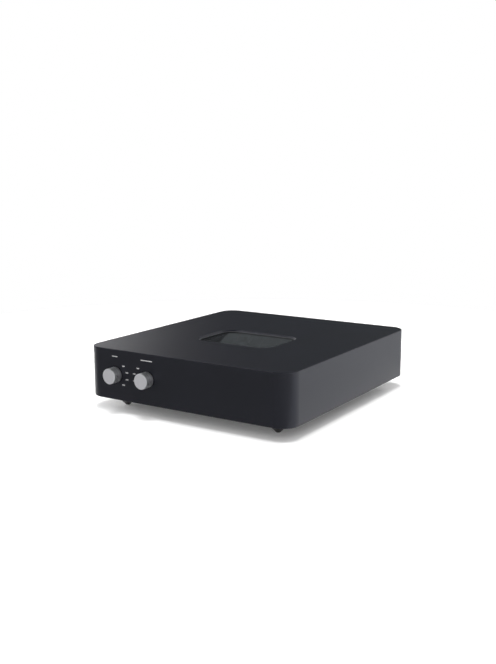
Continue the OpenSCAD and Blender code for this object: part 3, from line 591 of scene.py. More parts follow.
@dataclass(frozen=True)
class BoardFinish(Finish):
    """Solder mask over copper tracks, with tinned pads.

    Attributes:
        track: Colour of the mask over copper.
        pad: Colour of the pads.
        step: Side of the patches in which tracks run one way.
        patch_size: Width of the noise that picks the way in each patch.
        track_pitch: Distance between two tracks.
        track_width: Half the width of a track.
        upright_above: Level of the noise above which tracks run along Y.
        level_below: Level of the noise below which tracks run along X.
        pads_per_metre: Number of pads along a metre.
        pad_stray: How far pads stray from their grid.
        pad_radius: Radius of a pad, as a share of their distance.
    """

    track: Colour = (0.03, 0.1, 0.06)
    pad: Colour = (0.55, 0.55, 0.53)
    step: float = 0.004
    patch_size: float = 0.03
    track_pitch: float = 0.0011
    track_width: float = 0.0004
    upright_above: float = 0.53
    level_below: float = 0.44
    pads_per_metre: float = 150.0
    pad_stray: float = 0.35
    pad_radius: float = 0.13

    def tint(self, graph: Graph) -> Socket:
        """Give the colour: tracks run in steps along X and Y, and pads stand on a loose grid.

        Args:
            graph: The graph that the nodes join.

        Returns:
            The colour.
        """
        at = graph.place()
        patches = graph.add("ShaderNodeVectorMath", {0: at, 1: (self.step,) * 3}, operation="SNAP").outputs[0]
        which = graph.noise(patches, self.patch_size, detail=1.0)
        waves = [graph.math("PINGPONG", part, self.track_pitch) for part in graph.split(at)[:2]]
        lines = [graph.math("LESS_THAN", wave, self.track_width) for wave in waves]
        upright = graph.math("MULTIPLY", lines[0], graph.math("GREATER_THAN", which, self.upright_above))
        level = graph.math("MULTIPLY", lines[1], graph.math("LESS_THAN", which, self.level_below))
        spots = {"Vector": at, "Scale": self.pads_per_metre, "Randomness": self.pad_stray}
        cells = graph.add("ShaderNodeTexVoronoi", spots).outputs["Distance"]
        masked = graph.mix(graph.math("MAXIMUM", upright, level), rgba(self.colour), rgba(self.track))
        return graph.mix(graph.math("LESS_THAN", cells, self.pad_radius), masked, rgba(self.pad))


@dataclass(frozen=True)
class WindingFinish(Finish):
    """Turns of enamelled wire round a ring, under a clear wrap, with painted shade in the creases between the
    turns.

    Attributes:
        turns: Number of turns that show.
        painted_crease_shade: Painted shade: the colour of the creases between the turns.
        stray: How far a turn strays, as an angle.
        stray_size: Width of the patches that stray together.
    """

    turns: int = 150
    # Painted shade: dark colour for the creases between the turns.
    painted_crease_shade: Colour = (0.1, 0.02, 0.012)
    stray: float = 0.05
    stray_size: float = 0.012

    def marks(self, graph: Graph) -> Socket:
        """Give the height of the turns: a wave of the angle about the ring's axis.

        Args:
            graph: The graph that the nodes join.

        Returns:
            The height, from 0 to 1.
        """
        at = graph.place(self.centre)
        parts = graph.split(at)
        angle = graph.math("ARCTAN2", parts[1], parts[0])
        stray = graph.math("MULTIPLY", graph.noise(at, self.stray_size), self.stray)
        wave = graph.math("SINE", graph.math("MULTIPLY", graph.math("ADD", angle, stray), self.turns))
        return graph.spread(wave, 0, 1, start=-1, end=1)

    def tint(self, graph: Graph) -> Socket:
        """Give the colour: wire on the crests and painted shade in the troughs between them."""
        # The troughs between the turns take the painted shade colour.
        return graph.mix(self.marks(graph), rgba(self.painted_crease_shade), rgba(self.colour))


@dataclass(frozen=True)
class CodedRingFinish(Finish):
    """Insulators that are red on the right channel's sockets.

    Attributes:
        coded: Colour of the right channel.
        right_sockets: Places of the right channel's sockets, across.
        half_width: Half the width of one socket.
    """

    coded: Colour = (0.45, 0.015, 0.012)
    right_sockets: tuple[float, ...] = (-0.132, -0.044)
    half_width: float = 0.01

    def tint(self, graph: Graph) -> Socket:
        """Give the colour: coded near the right channel's sockets.

        Args:
            graph: The graph that the nodes join.

        Returns:
            The colour.
        """
        across = graph.split(graph.place())[0]
        near = [graph.math("COMPARE", across, x, self.half_width) for x in self.right_sockets]
        return graph.mix(graph.math("MAXIMUM", *near), rgba(self.colour), rgba(self.coded))


@dataclass(frozen=True)
class KnobFinish(Finish):
    """Turned metal with a pale faced-off end and a side painted darker, in rings of painted reflection
    streaks along its turning marks.

    Attributes:
        side: Colour of the side.
        side_roughness: Roughness of the side.
        marks_and_painted_reflections: Darkest and lightest ring on the side, as a share of its colour:
            painted reflection streaks on the turning marks, darker on the whole than the face as painted
            shade.
        front: Place of the face, along Y.
        face_depth: How far behind it the side begins.
    """

    side: Colour = (0.84, 0.9, 0.99)
    side_roughness: float = 0.5
    # Painted reflection and shade: the side's rings follow its turning marks and darken it on the whole.
    marks_and_painted_reflections: tuple[float, float] = (0.45, 1.25)
    front: float = 0.0
    face_depth: float = 0.00005

    def on_face(self, graph: Graph) -> Socket:
        """Give 1 in front of the side's edge and 0 behind it."""
        return graph.math("LESS_THAN", graph.split(graph.place())[1], self.front + self.face_depth)

    def tint(self, graph: Graph) -> Socket:
        """Give the colour: the face's in front of its edge, and behind it the side in lighter and darker
        rings of painted reflection streaks.
        """
        # The side's rings are painted reflection streaks, darker on the whole than the face.
        dark, light = (rgba(self.side, share) for share in self.marks_and_painted_reflections)
        return graph.mix(self.on_face(graph), graph.mix(self.marks(graph), dark, light), rgba(self.colour))

    def build(self) -> bpy.types.Material:
        """Make the material, with its own roughness on the side.

        Returns:
            The material.
        """
        material = super().build()
        graph = Graph(material.node_tree)
        rough = graph.spread(self.on_face(graph), self.side_roughness, self.roughness, 0, 1)
        graph.surface({"Roughness": rough})
        return material


@dataclass(frozen=True)
class BandedFinish(Finish):
    """A resistor's lacquer with colour bands, read from the piece's own UV map.

    Attributes:
        bands: Colour of each band, from one end to the other.
        band_places: Middle of each band, as a share of the length.
        band_half: Half the width of a band, as a share of the length.
    """

    bands: tuple[Colour, ...] = ((0.02, 0.02, 0.02), (0.5, 0.03, 0.02), (0.6, 0.2, 0.01), (0.2, 0.08, 0.02))
    band_places: tuple[float, ...] = (0.22, 0.38, 0.52, 0.78)
    band_half: float = 0.04

    def tint(self, graph: Graph) -> Socket:
        """Give the colour: a band wherever the distance along the body is near its place.

        Args:
            graph: The graph that the nodes join.

        Returns:
            The colour.
        """
        along = graph.along_map()
        colour: object = rgba(self.colour)
        for place, band in zip(self.band_places, self.bands):
            colour = graph.mix(graph.math("COMPARE", along, place, self.band_half), colour, rgba(band))
        return colour


BLACK_ANODISED = Finish(
    "black_anodised",
    (0.0026, 0.0026, 0.0058),
    0.42,
    sheen=(0.86, 0.89, 1.0),
    grain=Grain.BLASTED,
    grain_size=0.0005,
    grain_depth=0.000006,
    mottle=0.15,
    mottle_size=0.06,
    swing=0.03,
)
BLACK_PANEL = Finish(
    "black_panel", (0.009, 0.009, 0.0105), 0.38, grain=Grain.BRUSHED, grain_size=0.0004, grain_depth=0.000005
)
BLACK_POWDER = Finish(
    "black_powder_coat",
    (0.011, 0.011, 0.012),
    0.55,
    grain=Grain.BLASTED,
    grain_size=0.0009,
    grain_depth=0.00003,
)
FOOT_ANODISED = Finish("foot_anodised", (0.012, 0.0115, 0.011), 0.36, grain=Grain.BLASTED, grain_size=0.0005)
RUBBER = Finish("rubber", (0.018, 0.018, 0.018), 0.75, grain_size=0.0006, grain_depth=0.00002)
SEALANT = Finish("sealant_grey", (0.05, 0.052, 0.055), 0.4, grain_size=0.001)
BLACK_STEEL = Finish("black_steel", (0.03, 0.03, 0.033), 0.38, metallic=0.6, grain_size=0.0005)
ZINC_STEEL = Finish("zinc_steel", (0.56, 0.57, 0.58), 0.3, metallic=1.0, grain_size=0.0006, swing=0.08)
SHAFT_STEEL = Finish("shaft_steel", (0.6, 0.6, 0.61), 0.26, metallic=1.0, grain_size=0.0004)
DIE_CAST = Finish("die_cast", (0.42, 0.42, 0.44), 0.48, metallic=1.0, grain_size=0.0015, grain_depth=0.00003)
NICKEL = Finish("nickel_plate", (0.62, 0.6, 0.56), 0.2, metallic=1.0, grain_size=0.0004, grain_depth=0.000004)
GOLD = Finish(
    "gold_plate", (0.83, 0.58, 0.22), 0.2, metallic=1.0, grain_size=0.0004, grain_depth=0.000003, mottle=0.03
)
CONTACT = Finish("contact_brass", (0.78, 0.68, 0.45), 0.3, metallic=1.0, grain_size=0.0004)
BRASS = Finish("standoff_brass", (0.66, 0.5, 0.22), 0.3, metallic=1.0, grain_size=0.0004)
LAMINATE = {"grain": Grain.BRUSHED, "grain_size": 0.0006, "mottle": 0.2, "mottle_size": 0.003}
ROTOR_LAMINATE = Finish("rotor_laminate", (0.42, 0.27, 0.1), 0.5, **LAMINATE)
WAFER_LAMINATE = Finish("wafer_laminate", (0.3, 0.17, 0.055), 0.5, **LAMINATE)
NICKEL_SHEET = Finish("carbonised_nickel", (0.07, 0.07, 0.072), 0.5, metallic=0.7, grain_size=0.0006)
GETTER_MIRROR = Finish(
    "getter_mirror", (0.55, 0.53, 0.5), 0.08, metallic=1.0, grain_size=0.002, mottle=0.3, mottle_size=0.004
)
SOCKET_CERAMIC = Finish(
    "socket_ceramic", (0.76, 0.73, 0.64), 0.55, grain_size=0.0009, grain_depth=0.00002, mottle=0.05
)
BOARD_MASK = BoardFinish("board_mask", (0.012, 0.04, 0.024), 0.32, grain_size=0.002)
FILM_WRAP = Finish("film_wrap", (0.62, 0.36, 0.025), 0.28, coat=0.4, grain_size=0.002, mottle=0.08)
SLEEVE = Finish("capacitor_sleeve", (0.016, 0.017, 0.026), 0.3, coat=0.3, grain_size=0.002)
SLEEVE_STRIPE = Finish("sleeve_stripe", (0.5, 0.5, 0.46), 0.4, grain_size=0.002)
HEAT_SINK = Finish("heat_sink_black", (0.014, 0.014, 0.016), 0.45, grain=Grain.BRUSHED, grain_size=0.0005)
MOULDED_RESIN = Finish("moulded_resin", (0.016, 0.016, 0.016), 0.5, grain_size=0.0006)
MU_METAL = Finish("mu_metal", (0.46, 0.46, 0.47), 0.34, metallic=1.0, grain_size=0.001)
WINDING = WindingFinish(
    "ring_winding",
    (0.5, 0.16, 0.07),
    0.25,
    coat=0.6,
    grain_depth=0.00025,
    centre=(*middle("mains_transformer")[:2], 0.0),
)
BLACK_MOULDED = Finish("black_moulded", (0.013, 0.013, 0.014), 0.5, grain_size=0.0007, grain_depth=0.00002)
BLACK_GLOSS = Finish("black_gloss", (0.012, 0.012, 0.013), 0.22, grain_size=0.003)
SOCKET_INSULATOR = CodedRingFinish("socket_insulator", (0.78, 0.78, 0.76), 0.4, grain_size=0.001)
PRINT_WHITE = Finish("printed_white", (0.5, 0.5, 0.51), 0.6, grain_size=0.0004)
RESISTOR = BandedFinish("resistor_lacquer", (0.1, 0.28, 0.42), 0.3, coat=0.3)
TINNED_WIRE = Finish("tinned_wire", (0.6, 0.6, 0.6), 0.3, metallic=1.0)
RELAY_CASE = Finish("relay_case", (0.55, 0.54, 0.5), 0.35, grain_size=0.0008)
SMOKED_GLASS = ClearFinish("smoked_glass", (0.1, 0.11, 0.125))
BULB_GLASS = ClearFinish("bulb_glass", (0.92, 0.95, 0.95), smear=0.02)
FUSE_GLASS = ClearFinish("fuse_glass", (0.9, 0.93, 0.93), smear=0.05)


def satin_knob(knob: str) -> KnobFinish:
    """Give the finish of a knob, turned about the knob's own shaft.

    Args:
        knob: Which knob it is.

    Returns:
        The finish.
    """
    x, _, z = middle(f"{knob}_shaft")
    return KnobFinish(
        f"satin_knob_{knob}",
        (0.95, 0.95, 0.99),
        0.46,
        metallic=1.0,
        grain=Grain.TURNED,
        grain_size=0.0018,
        grain_depth=0.00006,
        axis=Axis.Y,
        centre=(x, 0.0, z),
        front=lowest(f"{knob}_knob", Axis.Y),
    )


@cache
def material_of(finish: Finish | ClearFinish) -> bpy.types.Material:
    """Give a finish's material, which is made only once."""
    return finish.build()


def dress(made: bpy.types.Object, finish: Finish | ClearFinish) -> bpy.types.Object:
    """Give an object one finish all over.

    Args:
        made: The object.
        finish: Its finish.

    Returns:
        The same object.
    """
    made.data.materials.clear()
    made.data.materials.append(material_of(finish))
    return made


def dress_nodes(finish: Finish | ClearFinish, *names: str) -> None:
    """Give CAD nodes a finish, and report each one.

    Args:
        finish: Their finish.
        *names: Names of the nodes.
    """
    for name in names:
        dress(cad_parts[name], finish)
        LOG.info("dressed %s in %s", name, finish.name)


def add_piece(
    made: bpy.types.Object,
    finish: Finish | ClearFinish,
    body: str,
    replaces: Sequence[str] = (),
) -> bpy.types.Object:
    """Finish a new piece: clean its mesh, crease its steep edges, dress it and tie it to its body.

    Args:
        made: The new piece, with its place in its mesh.
        finish: Its finish.
        body: The CAD body that it rides on.
        replaces: CAD nodes that it stands for.

    Returns:
        The piece.
    """
    clean_mesh(made).data.set_sharp_from_angle(angle=SHARP_ANGLE)
    dress(made, finish)
    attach(made, body)
    if replaces:
        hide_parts(*replaces)
    LOG.info("made %s on %s, %d faces", made.name, body, len(made.data.polygons))
    return made


# ---------------------------------------------------------------- sub-assemblies


@dataclass
class Case:
    """The case body, base plate, rear panel and their screws."""

    def build(self) -> None:
        """Dress the case."""
        dress_nodes(BLACK_ANODISED, "chassis_shell")
        dress_nodes(BLACK_POWDER, "base_plate", "window_frame")
        dress_nodes(BLACK_PANEL, "rear_panel")
        dress_nodes(BLACK_STEEL, "case_screws")
        dress_nodes(ZINC_STEEL, "pan_screws")


@dataclass
class Feet:
    """Four tapered feet with their pads and screws.

    Attributes:
        corners: The corners that they stand at.
    """

    corners: tuple[str, ...] = ("front_left", "front_right", "rear_left", "rear_right")

    def build(self) -> None:
        """Dress the feet."""
        dress_nodes(FOOT_ANODISED, *(f"foot_{corner}" for corner in self.corners))
        dress_nodes(RUBBER, "foot_pads")
        dress_nodes(ZINC_STEEL, "foot_screws")


@dataclass
class FrontLegend:
    """Printed marks on the front: a plain bar over each knob and numbers beside it.

    Attributes:
        label_height: Height of the digits.
        label_stretch: Width of the digits as a share of their plain width.
        label_weight: How much the strokes of the digits are thickened.
        capital: Height of the digits as a share of the type's size.
        bar_height: Thickness of a heading bar.
        bars: Place and length of each heading bar.
        numbers: For each knob, each of its numbers with its place.
    """

    label_height: float = 0.0018
    label_stretch: float = 1.35
    label_weight: float = 0.00009
    capital: float = 0.7
    bar_height: float = 0.0013
    bars: tuple[tuple[str, float, float, float], ...] = (
        ("gain", -0.1234, 0.0863, 0.0105),
        ("load", -0.0629, 0.0864, 0.0215),
    )
    numbers: tuple[tuple[str, str, float, float], ...] = (
        ("gain", "100", -0.1074, 0.0729),
        ("gain", "220", -0.1006, 0.0636),
        ("gain", "470", -0.1008, 0.0528),
        ("gain", "900", -0.1078, 0.0438),
        ("load", "900", -0.0794, 0.0730),
        ("load", "470", -0.0866, 0.0637),
        ("load", "220", -0.0866, 0.0530),
        ("load", "100", -0.0794, 0.0440),
    )

    def bar(self, name: str, x: float, z: float, length: float) -> bpy.types.Object:
        """Make one heading bar with round ends.

        The outline at angle t is the nearer end's centre plus half the height times
        (cos t, sin t), and it is carried out of the front by the thickness of the ink.

        Args:
            name: Which knob it belongs to.
            x: Middle of the bar, across.
            z: Middle of the bar, up.
            length: Length of the bar.

        Returns:
            The bar.
        """
        sides = 32
        turn = np.linspace(-np.pi / 2, 3 * np.pi / 2, sides, endpoint=False)
        end = np.where(np.arange(sides) > sides / 2, -1, 1)
        radius = self.bar_height / 2
        across = end * (length / 2 - radius) + radius * np.cos(turn)
        outline = np.column_stack([x + across, np.full(sides, FRONT_Y), z + radius * np.sin(turn)])
        outer = outline - [0, INK_THICKNESS, 0]
        points = np.vstack([outline, outer, [x, FRONT_Y, z], [x, FRONT_Y - INK_THICKNESS, z]])
        ring = np.arange(sides)
        ends = [fan(2 * sides, ring), fan(2 * sides + 1, ring[::-1] + sides)]
        faces = np.vstack([grid_faces(2, sides, False, True), *ends])
        return make_mesh(f"legend_bar_{name}", points, faces, smooth=False)

    def digits(self, name: str, text: str, x: float, z: float) -> bpy.types.Object:
        """Make one printed number on the front.

        Args:
            name: Name of the piece.
            text: The digits.
            x: Middle of the number, across.
            z: Middle of the number, up.

        Returns:
            The number as a mesh with its place in it.
        """
        curve = bpy.data.curves.new(name, "FONT")
        curve.body = text
        curve.size = self.label_height / self.capital
        curve.align_x, curve.align_y = "CENTER", "CENTER"
        curve.extrude = INK_THICKNESS / 2
        curve.offset = self.label_weight
        curve.resolution_u = 3
        written = add_object(name, curve)
        bpy.context.view_layer.update()
        mesh = bpy.data.meshes.new_from_object(written.evaluated_get(bpy.context.evaluated_depsgraph_get()))
        bpy.data.objects.remove(written)
        mesh.name = name
        upright = Matrix.Rotation(math.pi / 2, 4, "X") @ Matrix.Diagonal((self.label_stretch, 1, 1, 1))
        mesh.transform(Matrix.Translation((x, FRONT_Y - INK_THICKNESS / 2, z)) @ upright)
        return add_object(name, mesh)

    def build(self) -> None:
        """Print the front."""
        for name, x, z, length in self.bars:
            add_piece(self.bar(name, x, z, length), PRINT_WHITE, "case")
        for knob, text, x, z in self.numbers:
            add_piece(self.digits(f"number_{knob}_{text}", text, x, z), PRINT_WHITE, "case")


@dataclass
class Selectors:
    """Both rotary selectors, from their knobs to the nuts of their tie rods.

    Attributes:
        knobs: What each of them sets.
    """

    knobs: tuple[str, ...] = ("gain", "load")

    def build(self) -> None:
        """Dress the selectors."""
        for knob in self.knobs:
            dress_nodes(satin_knob(knob), f"{knob}_knob")
            dress_nodes(BLACK_STEEL, f"{knob}_grub_screw")
            dress_nodes(SHAFT_STEEL, f"{knob}_shaft")
            dress_nodes(ROTOR_LAMINATE, f"{knob}_rotors")
            dress_nodes(DIE_CAST, f"{knob}_index_housing")
        dress_nodes(WAFER_LAMINATE, "selector_wafers")
        dress_nodes(CONTACT, "selector_contacts")
        dress_nodes(ZINC_STEEL, "selector_tie_rods")
        dress_nodes(NICKEL, "panel_nuts")


@dataclass
class TubeStage:
    """The window in the top and the four tubes under it.

    Attributes:
        tubes: The CAD node of each bulb.
        bulb_height: Height of the bulb without its tip.
        inner_radius: Inner radius of the bulb.
        shoulder: Inner radius of the bulb's shoulder.
        dome: Thickness of the bulb's top.
        mirror_hole: Radius at which the mirror starts.
        mirror_skirt: How far the mirror reaches down the wall.
        mirror_insets: Distances of the mirror's two faces from the glass.
        opening: Width and depth of the window at the foot of its sloping edge.
        opening_corner: Radius of its corners there.
        edge_foot: Height of the foot of the sloping edge.
        bead_gap: Gap above and below the bead of sealant.
        bead_inset: How far the bead's outer face is inside the foot of the sloping edge.
        bead_width: Width of the bead on the glass.
        bead_lip: Thickness of the bead's inner lip.
    """

    tubes: tuple[str, ...] = ("tube_glass_1", "tube_glass_2", "tube_glass_3", "tube_glass_4")
    bulb_height: float = 0.042
    inner_radius: float = 0.0096
    shoulder: float = 0.0038
    dome: float = 0.001
    mirror_hole: float = 0.0015
    mirror_skirt: float = 0.004
    mirror_insets: tuple[float, float] = (0.00006, 0.0001)
    opening: Place = (0.1366, 0.0986)
    opening_corner: float = 0.0218
    edge_foot: float = 0.0948
    bead_gap: float = 0.00002
    bead_inset: float = 0.00003
    bead_width: float = 0.0011
    bead_lip: float = 0.00004

    def seal_bead(self) -> bpy.types.Object:
        """Make the bead of sealant between the sloping edge and the glass.

        Each ring follows the window's outline, drawn in by the bead's width there. The section is
        a flat fillet from the foot of the sloping edge down to the glass.

        Returns:
            The bead.
        """
        centre, around = round_corners(self.opening, self.opening_corner, steps=12)
        centre = centre + middle("window_glass")[:2]
        top, foot = self.edge_foot - self.bead_gap, highest("window_glass", Axis.Z) + self.bead_gap
        edge, lip = -self.bead_inset, -self.bead_width
        section = [(edge, top), (lip, foot + self.bead_lip), (lip, foot), (edge, foot)]
        rows = [
            np.column_stack([centre + (self.opening_corner + r) * around, np.full(len(around), z)])
            for r, z in section
        ]
        points = np.stack(rows, axis=1).reshape(-1, 3)
        return make_mesh("window_seal_bead", points, grid_faces(len(around), len(section), True, True))

    def getter_mirrors(self) -> bpy.types.Object:
        """Make the mirror that the getter leaves inside the top of each bulb.

        The profile runs down the shoulder's quarter circle and a short way down the wall, a
        hair inside the glass, and back up a second hair further in.

        Returns:
            All four mirrors as one piece.
        """
        top = lowest(self.tubes[0], Axis.Z) + self.bulb_height - self.dome
        turn = np.linspace(np.pi / 2, 0, 10)
        sheets = []
        for inset in self.mirror_insets:
            r = self.inner_radius - self.shoulder + (self.shoulder - inset) * np.cos(turn)
            z = top - self.shoulder + (self.shoulder - inset) * np.sin(turn)
            r = np.concatenate([[self.mirror_hole], r, [self.inner_radius - inset]])
            z = np.concatenate([[top - inset], z, [top - self.shoulder - self.mirror_skirt]])
            sheets.append(np.column_stack([r, z]))
        profile = np.vstack([sheets[0][::-1], sheets[1]])
        moves = np.array([[x, y, 0.0] for x, y, _ in map(middle, self.tubes)])
        return make_mesh("getter_mirrors", *repeat_shape(*lathe(profile, sides=40), moves))

    def build(self) -> None:
        """Dress the window and the tubes, and add the getter mirrors and the bead of sealant."""
        dress_nodes(SMOKED_GLASS, "window_glass")
        dress_nodes(RUBBER, "window_gasket")
        dress_nodes(BULB_GLASS, *self.tubes)
        dress_nodes(NICKEL_SHEET, "tube_electrodes")
        dress_nodes(SOCKET_CERAMIC, "tube_sockets")
        add_piece(self.getter_mirrors(), GETTER_MIRROR, "case")
        add_piece(self.seal_bead(), SEALANT, "case")


@dataclass
class Boards:
    """Both circuit boards with the parts that stand on them.

    Attributes:
        resistor_rows: For each row, its first place and its number of resistors.
        resistor_pitch: Distance between two resistors.
        resistor_radius: Radius of a resistor's body.
        resistor_length: Length of a resistor's body.
        resistor_rise: Gap between a resistor and the board.
        lead_radius: Radius of a resistor's lead.
        lead_bends: Bends of a lead, each by its distance from the body's end and its height.
        relay_places: Place of each relay.
        relay_size: Width, depth and height of a relay.
        relay_corner: Radius of a relay's corners.
        can_places: For each filter capacitor, its place, radius and height.
        stripe_half: Half the angle that a capacitor's stripe covers.
        stripe_start: Height at which the stripe starts.
        stripe_stop: How far below the top it ends.
        stripe_sheets: Distances of its two faces from the sleeve.
    """

    resistor_rows: tuple[tuple[float, float, int], ...] = (
        (-0.062, 0.03, 5),
        (-0.062, -0.062, 5),
        (-0.002, -0.03, 5),
        (-0.002, 0.012, 6),
        (0.01, 0.022, 4),
        (-0.062, 0.06, 6),
    )
    resistor_pitch: float = 0.0042
    resistor_radius: float = 0.0012
    resistor_length: float = 0.0064
    resistor_rise: float = 0.0004
    lead_radius: float = 0.0003
    lead_bends: tuple[Place, ...] = ((-0.0003, 0.0), (0.0012, 0.0), (0.0018, -0.0006))
    relay_places: tuple[Place, ...] = ((-0.112, 0.062), (-0.112, 0.084), (-0.088, 0.062), (-0.088, 0.084))
    relay_size: Point = (0.0075, 0.0155, 0.0105)
    relay_corner: float = 0.0006
    can_places: tuple[tuple[float, float, float, float], ...] = (
        (0.087, 0.002, 0.011, 0.038),
        (0.111, 0.002, 0.011, 0.038),
        (0.087, 0.03, 0.011, 0.038),
        (0.111, 0.03, 0.011, 0.038),
        (0.044, 0.062, 0.009, 0.03),
        (0.044, 0.088, 0.009, 0.03),
    )
    stripe_half: float = 0.28
    stripe_start: float = 0.007
    stripe_stop: float = 0.001
    stripe_sheets: tuple[float, float] = (0.00001, 0.00008)

    def resistor_places(self) -> np.ndarray:
        """Give the middle of each resistor's body.

        Returns:
            One row of x, y, z for each resistor.
        """
        z = BOARD_TOP + self.resistor_radius + self.resistor_rise
        rows = []
        for x, y, count in self.resistor_rows:
            along = y + self.resistor_pitch * np.arange(count)
            rows.append(np.column_stack([np.full(count, x), along, np.full(count, z)]))
        return np.vstack(rows)

    def resistor_bodies(self) -> bpy.types.Object:
        """Make the resistors' bodies along X, each with a cap at both ends.

        The body is a lathe shape about X: radius against length follows a profile with wider
        ends. Its UV map holds the share of the length.

        Returns:
            All bodies as one piece.
        """
        length, radius, sides = self.resistor_length, self.resistor_radius, 16
        share = np.array([0, 0.0, 0.03, 0.15, 0.2, 0.8, 0.85, 0.97, 1.0, 1.0])
        width = np.array([0.2, 0.8, 1.0, 1.0, 0.84, 0.84, 1.0, 1.0, 0.8, 0.2])
        turn = np.linspace(0, 2 * np.pi, sides, endpoint=False)
        points = np.stack(
            [
                np.tile((share - 0.5) * length, (sides, 1)),
                np.outer(np.cos(turn), width * radius),
                np.outer(np.sin(turn), width * radius),
            ],
            axis=2,
        ).reshape(-1, 3)
        faces = grid_faces(sides, len(share), True, False)
        every, numbers = repeat_shape(points, faces, self.resistor_places())
        made = make_mesh("resistor_bodies", every, numbers)
        uv = made.data.uv_layers.new(name="along")
        corner = np.zeros(len(made.data.loops), int)
        made.data.loops.foreach_get("vertex_index", corner)
        along = np.tile(np.tile(share, sides), len(self.resistor_places()))[corner]
        uv.data.foreach_set("uv", np.column_stack([along, np.zeros(len(along))]).ravel())
        return made

    def resistor_leads(self) -> bpy.types.Object:
        """Make the resistors' leads, bent down into the board at both ends.

        Returns:
            All leads as one piece.
        """
        half, drop = self.resistor_length / 2, self.resistor_radius + self.resistor_rise
        farthest, _ = self.lead_bends[-1]
        leads = []
        for side in (-1, 1):
            path = [(side * (half + out), 0, z) for out, z in (*self.lead_bends, (farthest, -drop))]
            leads.append(sweep(smooth_path(path, steps=3), self.lead_radius, sides=8))
        return make_mesh("resistor_leads", *repeat_shape(*join_shapes(leads), self.resistor_places()))

    def relays(self) -> bpy.types.Object:
        """Make the input relays as small closed cases."""
        moves = np.array([[x, y, BOARD_TOP] for x, y in self.relay_places])
        return make_mesh("input_relays", *repeat_shape(*round_box(self.relay_size, self.relay_corner), moves))

    def stripes(self) -> bpy.types.Object:
        """Make the pale stripe down the sleeve of each filter capacitor.

        Each stripe is a patch of the cylinder a hair outside the sleeve: angle and height are its
        two parameters, and a second sheet closes it behind.

        Returns:
            All stripes as one piece.
        """
        across, up = 9, 4
        count = across * up
        number = np.arange(count).reshape(across, up)
        rim = np.concatenate([number[0], number[1:, -1], number[-1, -2::-1], number[-2:0:-1, 0]])
        after = np.roll(rim, -1)
        sheet = grid_faces(across, up)
        edge = np.stack([rim, after, after + count, rim + count], axis=1)
        faces = np.vstack([sheet[:, ::-1], sheet + count, edge])
        shapes = []
        for x, y, radius, height in self.can_places:
            turn = np.linspace(-self.stripe_half, self.stripe_half, across) - np.pi / 2
            levels = np.linspace(self.stripe_start, height - self.stripe_stop, up)
            t, z = np.meshgrid(turn, levels, indexing="ij")
            sheets = []
            for out in self.stripe_sheets:
                r = radius + out
                sheets.append(np.stack([x + r * np.cos(t), y + r * np.sin(t), BOARD_TOP + z], axis=2))
            shapes.append((np.stack(sheets).reshape(-1, 3), faces))
        return make_mesh("capacitor_stripes", *join_shapes(shapes))

    def build(self) -> None:
        """Dress the boards and add their small parts."""
        dress_nodes(BOARD_MASK, "main_board", "power_board")
        dress_nodes(BRASS, "board_standoffs")
        dress_nodes(FILM_WRAP, "coupling_capacitors")
        dress_nodes(SLEEVE, "filter_capacitors")
        dress_nodes(HEAT_SINK, "heat_sinks")
        dress_nodes(MOULDED_RESIN, "regulators")
        dress_nodes(MU_METAL, "step_up_transformers")
        add_piece(self.resistor_bodies(), RESISTOR, "case")
        add_piece(self.resistor_leads(), TINNED_WIRE, "case")
        add_piece(self.relays(), RELAY_CASE, "case")
        add_piece(self.stripes(), SLEEVE_STRIPE, "case")


@dataclass
class MainsTransformer:
    """The ring transformer between its pads, with its clamp and bolt."""

    def build(self) -> None:
        """Dress the transformer."""
        dress_nodes(WINDING, "mains_transformer")
        dress_nodes(RUBBER, "transformer_pads")
        dress_nodes(ZINC_STEEL, "transformer_clamp", "transformer_bolt")


